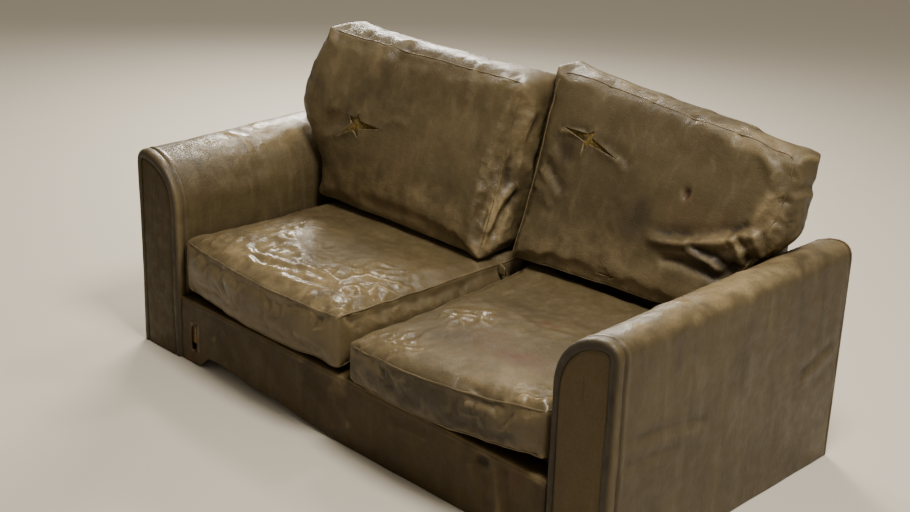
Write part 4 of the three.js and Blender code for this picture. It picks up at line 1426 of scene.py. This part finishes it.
def open_slit(piece):
    """Takes out the faces inside a lens-shaped slit, and draws its edge points to the lens."""
    low, high = (np.array(corner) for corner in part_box(BORDER_BOX))
    centre = (low + np.array((SLIT_PLACE[0], 0, SLIT_PLACE[1])) * (high - low))[[0, 2]]
    shape = bmesh.new()
    shape.from_mesh(piece.data)

    def lens(point):
        up = (point.z - centre[1]) / SLIT_HALF[1]
        return SLIT_HALF[0] * (1 - up * up) if abs(up) < 1 else 0.0

    for vert in shape.verts:
        if vert.co.y > low[1] + 0.004:
            continue
        aside = vert.co.x - centre[0]
        wide = lens(vert.co)
        if wide and abs(aside) < 0.022:
            share = 1 - abs(aside) / 0.022
            vert.co.x += (1 if aside >= 0 else -1) * wide * share
            vert.co.y += (0.004 if aside >= 0 else -0.002) * share
    inside = [
        face for face in shape.faces
        if face.calc_center_median().y < low[1] + 0.008
        and abs(face.calc_center_median().x - centre[0]) < lens(face.calc_center_median())
    ]
    bmesh.ops.delete(shape, geom=inside, context="FACES")
    shape.to_mesh(piece.data)
    shape.free()
    return len(inside)


print("slit", open_slit(border), "faces")
unevenness(border, 0.15, 0.0022, 31)
sculpt(
    border, BORDER_BOX, "front",
    folds=[
        (((0.36, 0.80), (0.43, 0.45), (0.50, 0.08)), 0.030, 0.0035, 0.8),
        (((0.45, 0.85), (0.49, 0.50), (0.53, 0.25)), 0.024, 0.0025, 0.8),
        (((0.25, 0.75), (0.32, 0.42), (0.36, 0.12)), 0.032, 0.0025, 0.8),
        (((0.885, 0.98), (0.89, 0.60), (0.902, 0.10)), 0.024, 0.0030, 0.9),
        (((0.82, 0.80), (0.838, 0.50), (0.845, 0.15)), 0.026, 0.0022, 0.8),
        (((0.61, 0.62), (0.68, 0.70), (0.74, 0.72)), 0.018, 0.002, 0.8),
        (((0.10, 0.65), (0.14, 0.40), (0.16, 0.20)), 0.024, 0.0025, 0.8),
    ],
    dents=[((0.86, 0.84), (0.02, 0.014), 0.006)],
)
BORDER_WEAR = [
    ("stain", (0.030, 0.5, 0.05), (0.035, 0.05, 0.030), 1.2),
    ("scuff_and_painted_light", (0.49, 0.0, 0.95), (0.03, 0.03, 0.045), 0.45),
    ("scuff_and_painted_light", (0.975, 0.0, 0.98), (0.03, 0.03, 0.02), 0.6),
    ("stain", (0.93, 0.0, 0.75), (0.05, 0.03, 0.05), 0.4),
    ("grime_and_painted_shade", (0.5, 0.0, 0.0), (0.75, 0.03, 0.05), 0.35),
    # Painted shade in the dent, and painted shadow along the top, under the seat cushions.
    ("grime_and_painted_shade", (0.86, 0.0, 0.84), (0.03, 0.03, 0.02), 0.8),
    ("grime_and_painted_shade", (0.2, 0.0, 0.9), (0.3, 0.03, 0.05), 0.3),
]
paint_wear(border.data, spots_in(BORDER_BOX, BORDER_WEAR), crease_scale=0.0005)
BORDER_THICKNESS = 0.0025
thicken(border, BORDER_THICKNESS)
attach(border, "root")
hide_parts(BORDER_BOX)

# %% [markdown]
# ## The back
# The outside of the back is one plain sheet from the top down to the floor, and behind the cushions another
# sheet goes up and over the top rail. Nobody sees them often, so they are only slack, creased and dusty.
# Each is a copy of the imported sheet, cut into a fine mesh so that it can be creased.

# %% Back sheets


def fine_copy(node_name, name, step, axes, material):
    """A copy of a packed sheet, cut along planes a step apart so that it can bend."""
    piece = solid_copy(node_name, name, material)
    low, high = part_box(node_name)
    shape = bmesh.new()
    shape.from_mesh(piece.data)
    bmesh.ops.dissolve_limit(shape, angle_limit=0.01, verts=shape.verts, edges=shape.edges)
    for axis in axes:
        normal = Vector((0, 0, 0))
        normal[axis] = 1.0
        count = max(2, int((high[axis] - low[axis]) / step))
        for number in range(1, count):
            place = Vector((0, 0, 0))
            place[axis] = low[axis] + (high[axis] - low[axis]) * number / count
            everything = shape.verts[:] + shape.edges[:] + shape.faces[:]
            bmesh.ops.bisect_plane(shape, geom=everything, plane_co=place, plane_no=normal, dist=1e-6)
    bmesh.ops.triangulate(shape, faces=[face for face in shape.faces if len(face.verts) > 4])
    shape.to_mesh(piece.data)
    shape.free()
    return piece


def crease_sheet(piece, axis, grain, height, seed):
    """Moves both faces of a sheet together along one axis, so its thickness stays. Its border is held."""
    mesh = piece.data
    points = read_points(mesh)
    others = [k for k in range(3) if k != axis]
    low, high = points.min(axis=0), points.max(axis=0)
    border_far = np.min([np.minimum(points[:, k] - low[k], high[k] - points[:, k]) for k in others], axis=0)
    sample = points.copy()
    sample[:, axis] = 0
    sample[:, 2] *= 0.45
    lumps = noise_at(sample, grain, seed) + 0.35 * noise_at(sample, grain * 0.4, seed + 2)
    points[:, axis] -= (lumps + 0.8) * height * smooth_step(border_far, 0.0, 0.06)
    write_points(mesh, points)
    shade_smooth(mesh)
    mesh.set_sharp_from_angle(angle=math.radians(40))


SHEET_STEP = 0.016
SLACK_GRAIN = 0.20
BACK_SHEETS = (
    ("outside_back_cover", "outside_back_leather", (0, 2), 1, -0.003),
    ("inside_back_cover", "inside_back_leather", (0, 2), 1, 0.0012),
    ("back_side_cover_left", "back_side_leather_left", (1, 2), 0, 0.0),
    ("back_side_cover_right", "back_side_leather_right", (1, 2), 0, 0.0),
)
for seed, (node_name, name, axes, axis, height) in enumerate(BACK_SHEETS):
    piece = fine_copy(node_name, name, SHEET_STEP, axes, LEATHER)
    if height:
        crease_sheet(piece, axis, SLACK_GRAIN, height, 41 + seed)
    paint_wear(piece.data, [], ground=(0.05, 0.15, 0.0, 0.0))
    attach(piece, "root")
    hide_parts(node_name)
    print(name, len(piece.data.vertices), "points")

# %% Floor
FLOOR_HALF = 20.0
FLOOR_COLOUR = "#d8d0c0"
floor_shape = bmesh.new()
bmesh.ops.create_grid(floor_shape, x_segments=1, y_segments=1, size=FLOOR_HALF)
floor_mesh = bpy.data.meshes.new("floor")
floor_shape.to_mesh(floor_mesh)
floor_shape.free()
floor_material, _, floor_shader, _ = new_material("floor_painted_pale")
floor_shader.inputs["Base Color"].default_value = srgb(FLOOR_COLOUR)
floor_shader.inputs["Roughness"].default_value = 0.9
floor = link("floor", floor_mesh, floor_material)

# %% The end
bpy.context.view_layer.update()
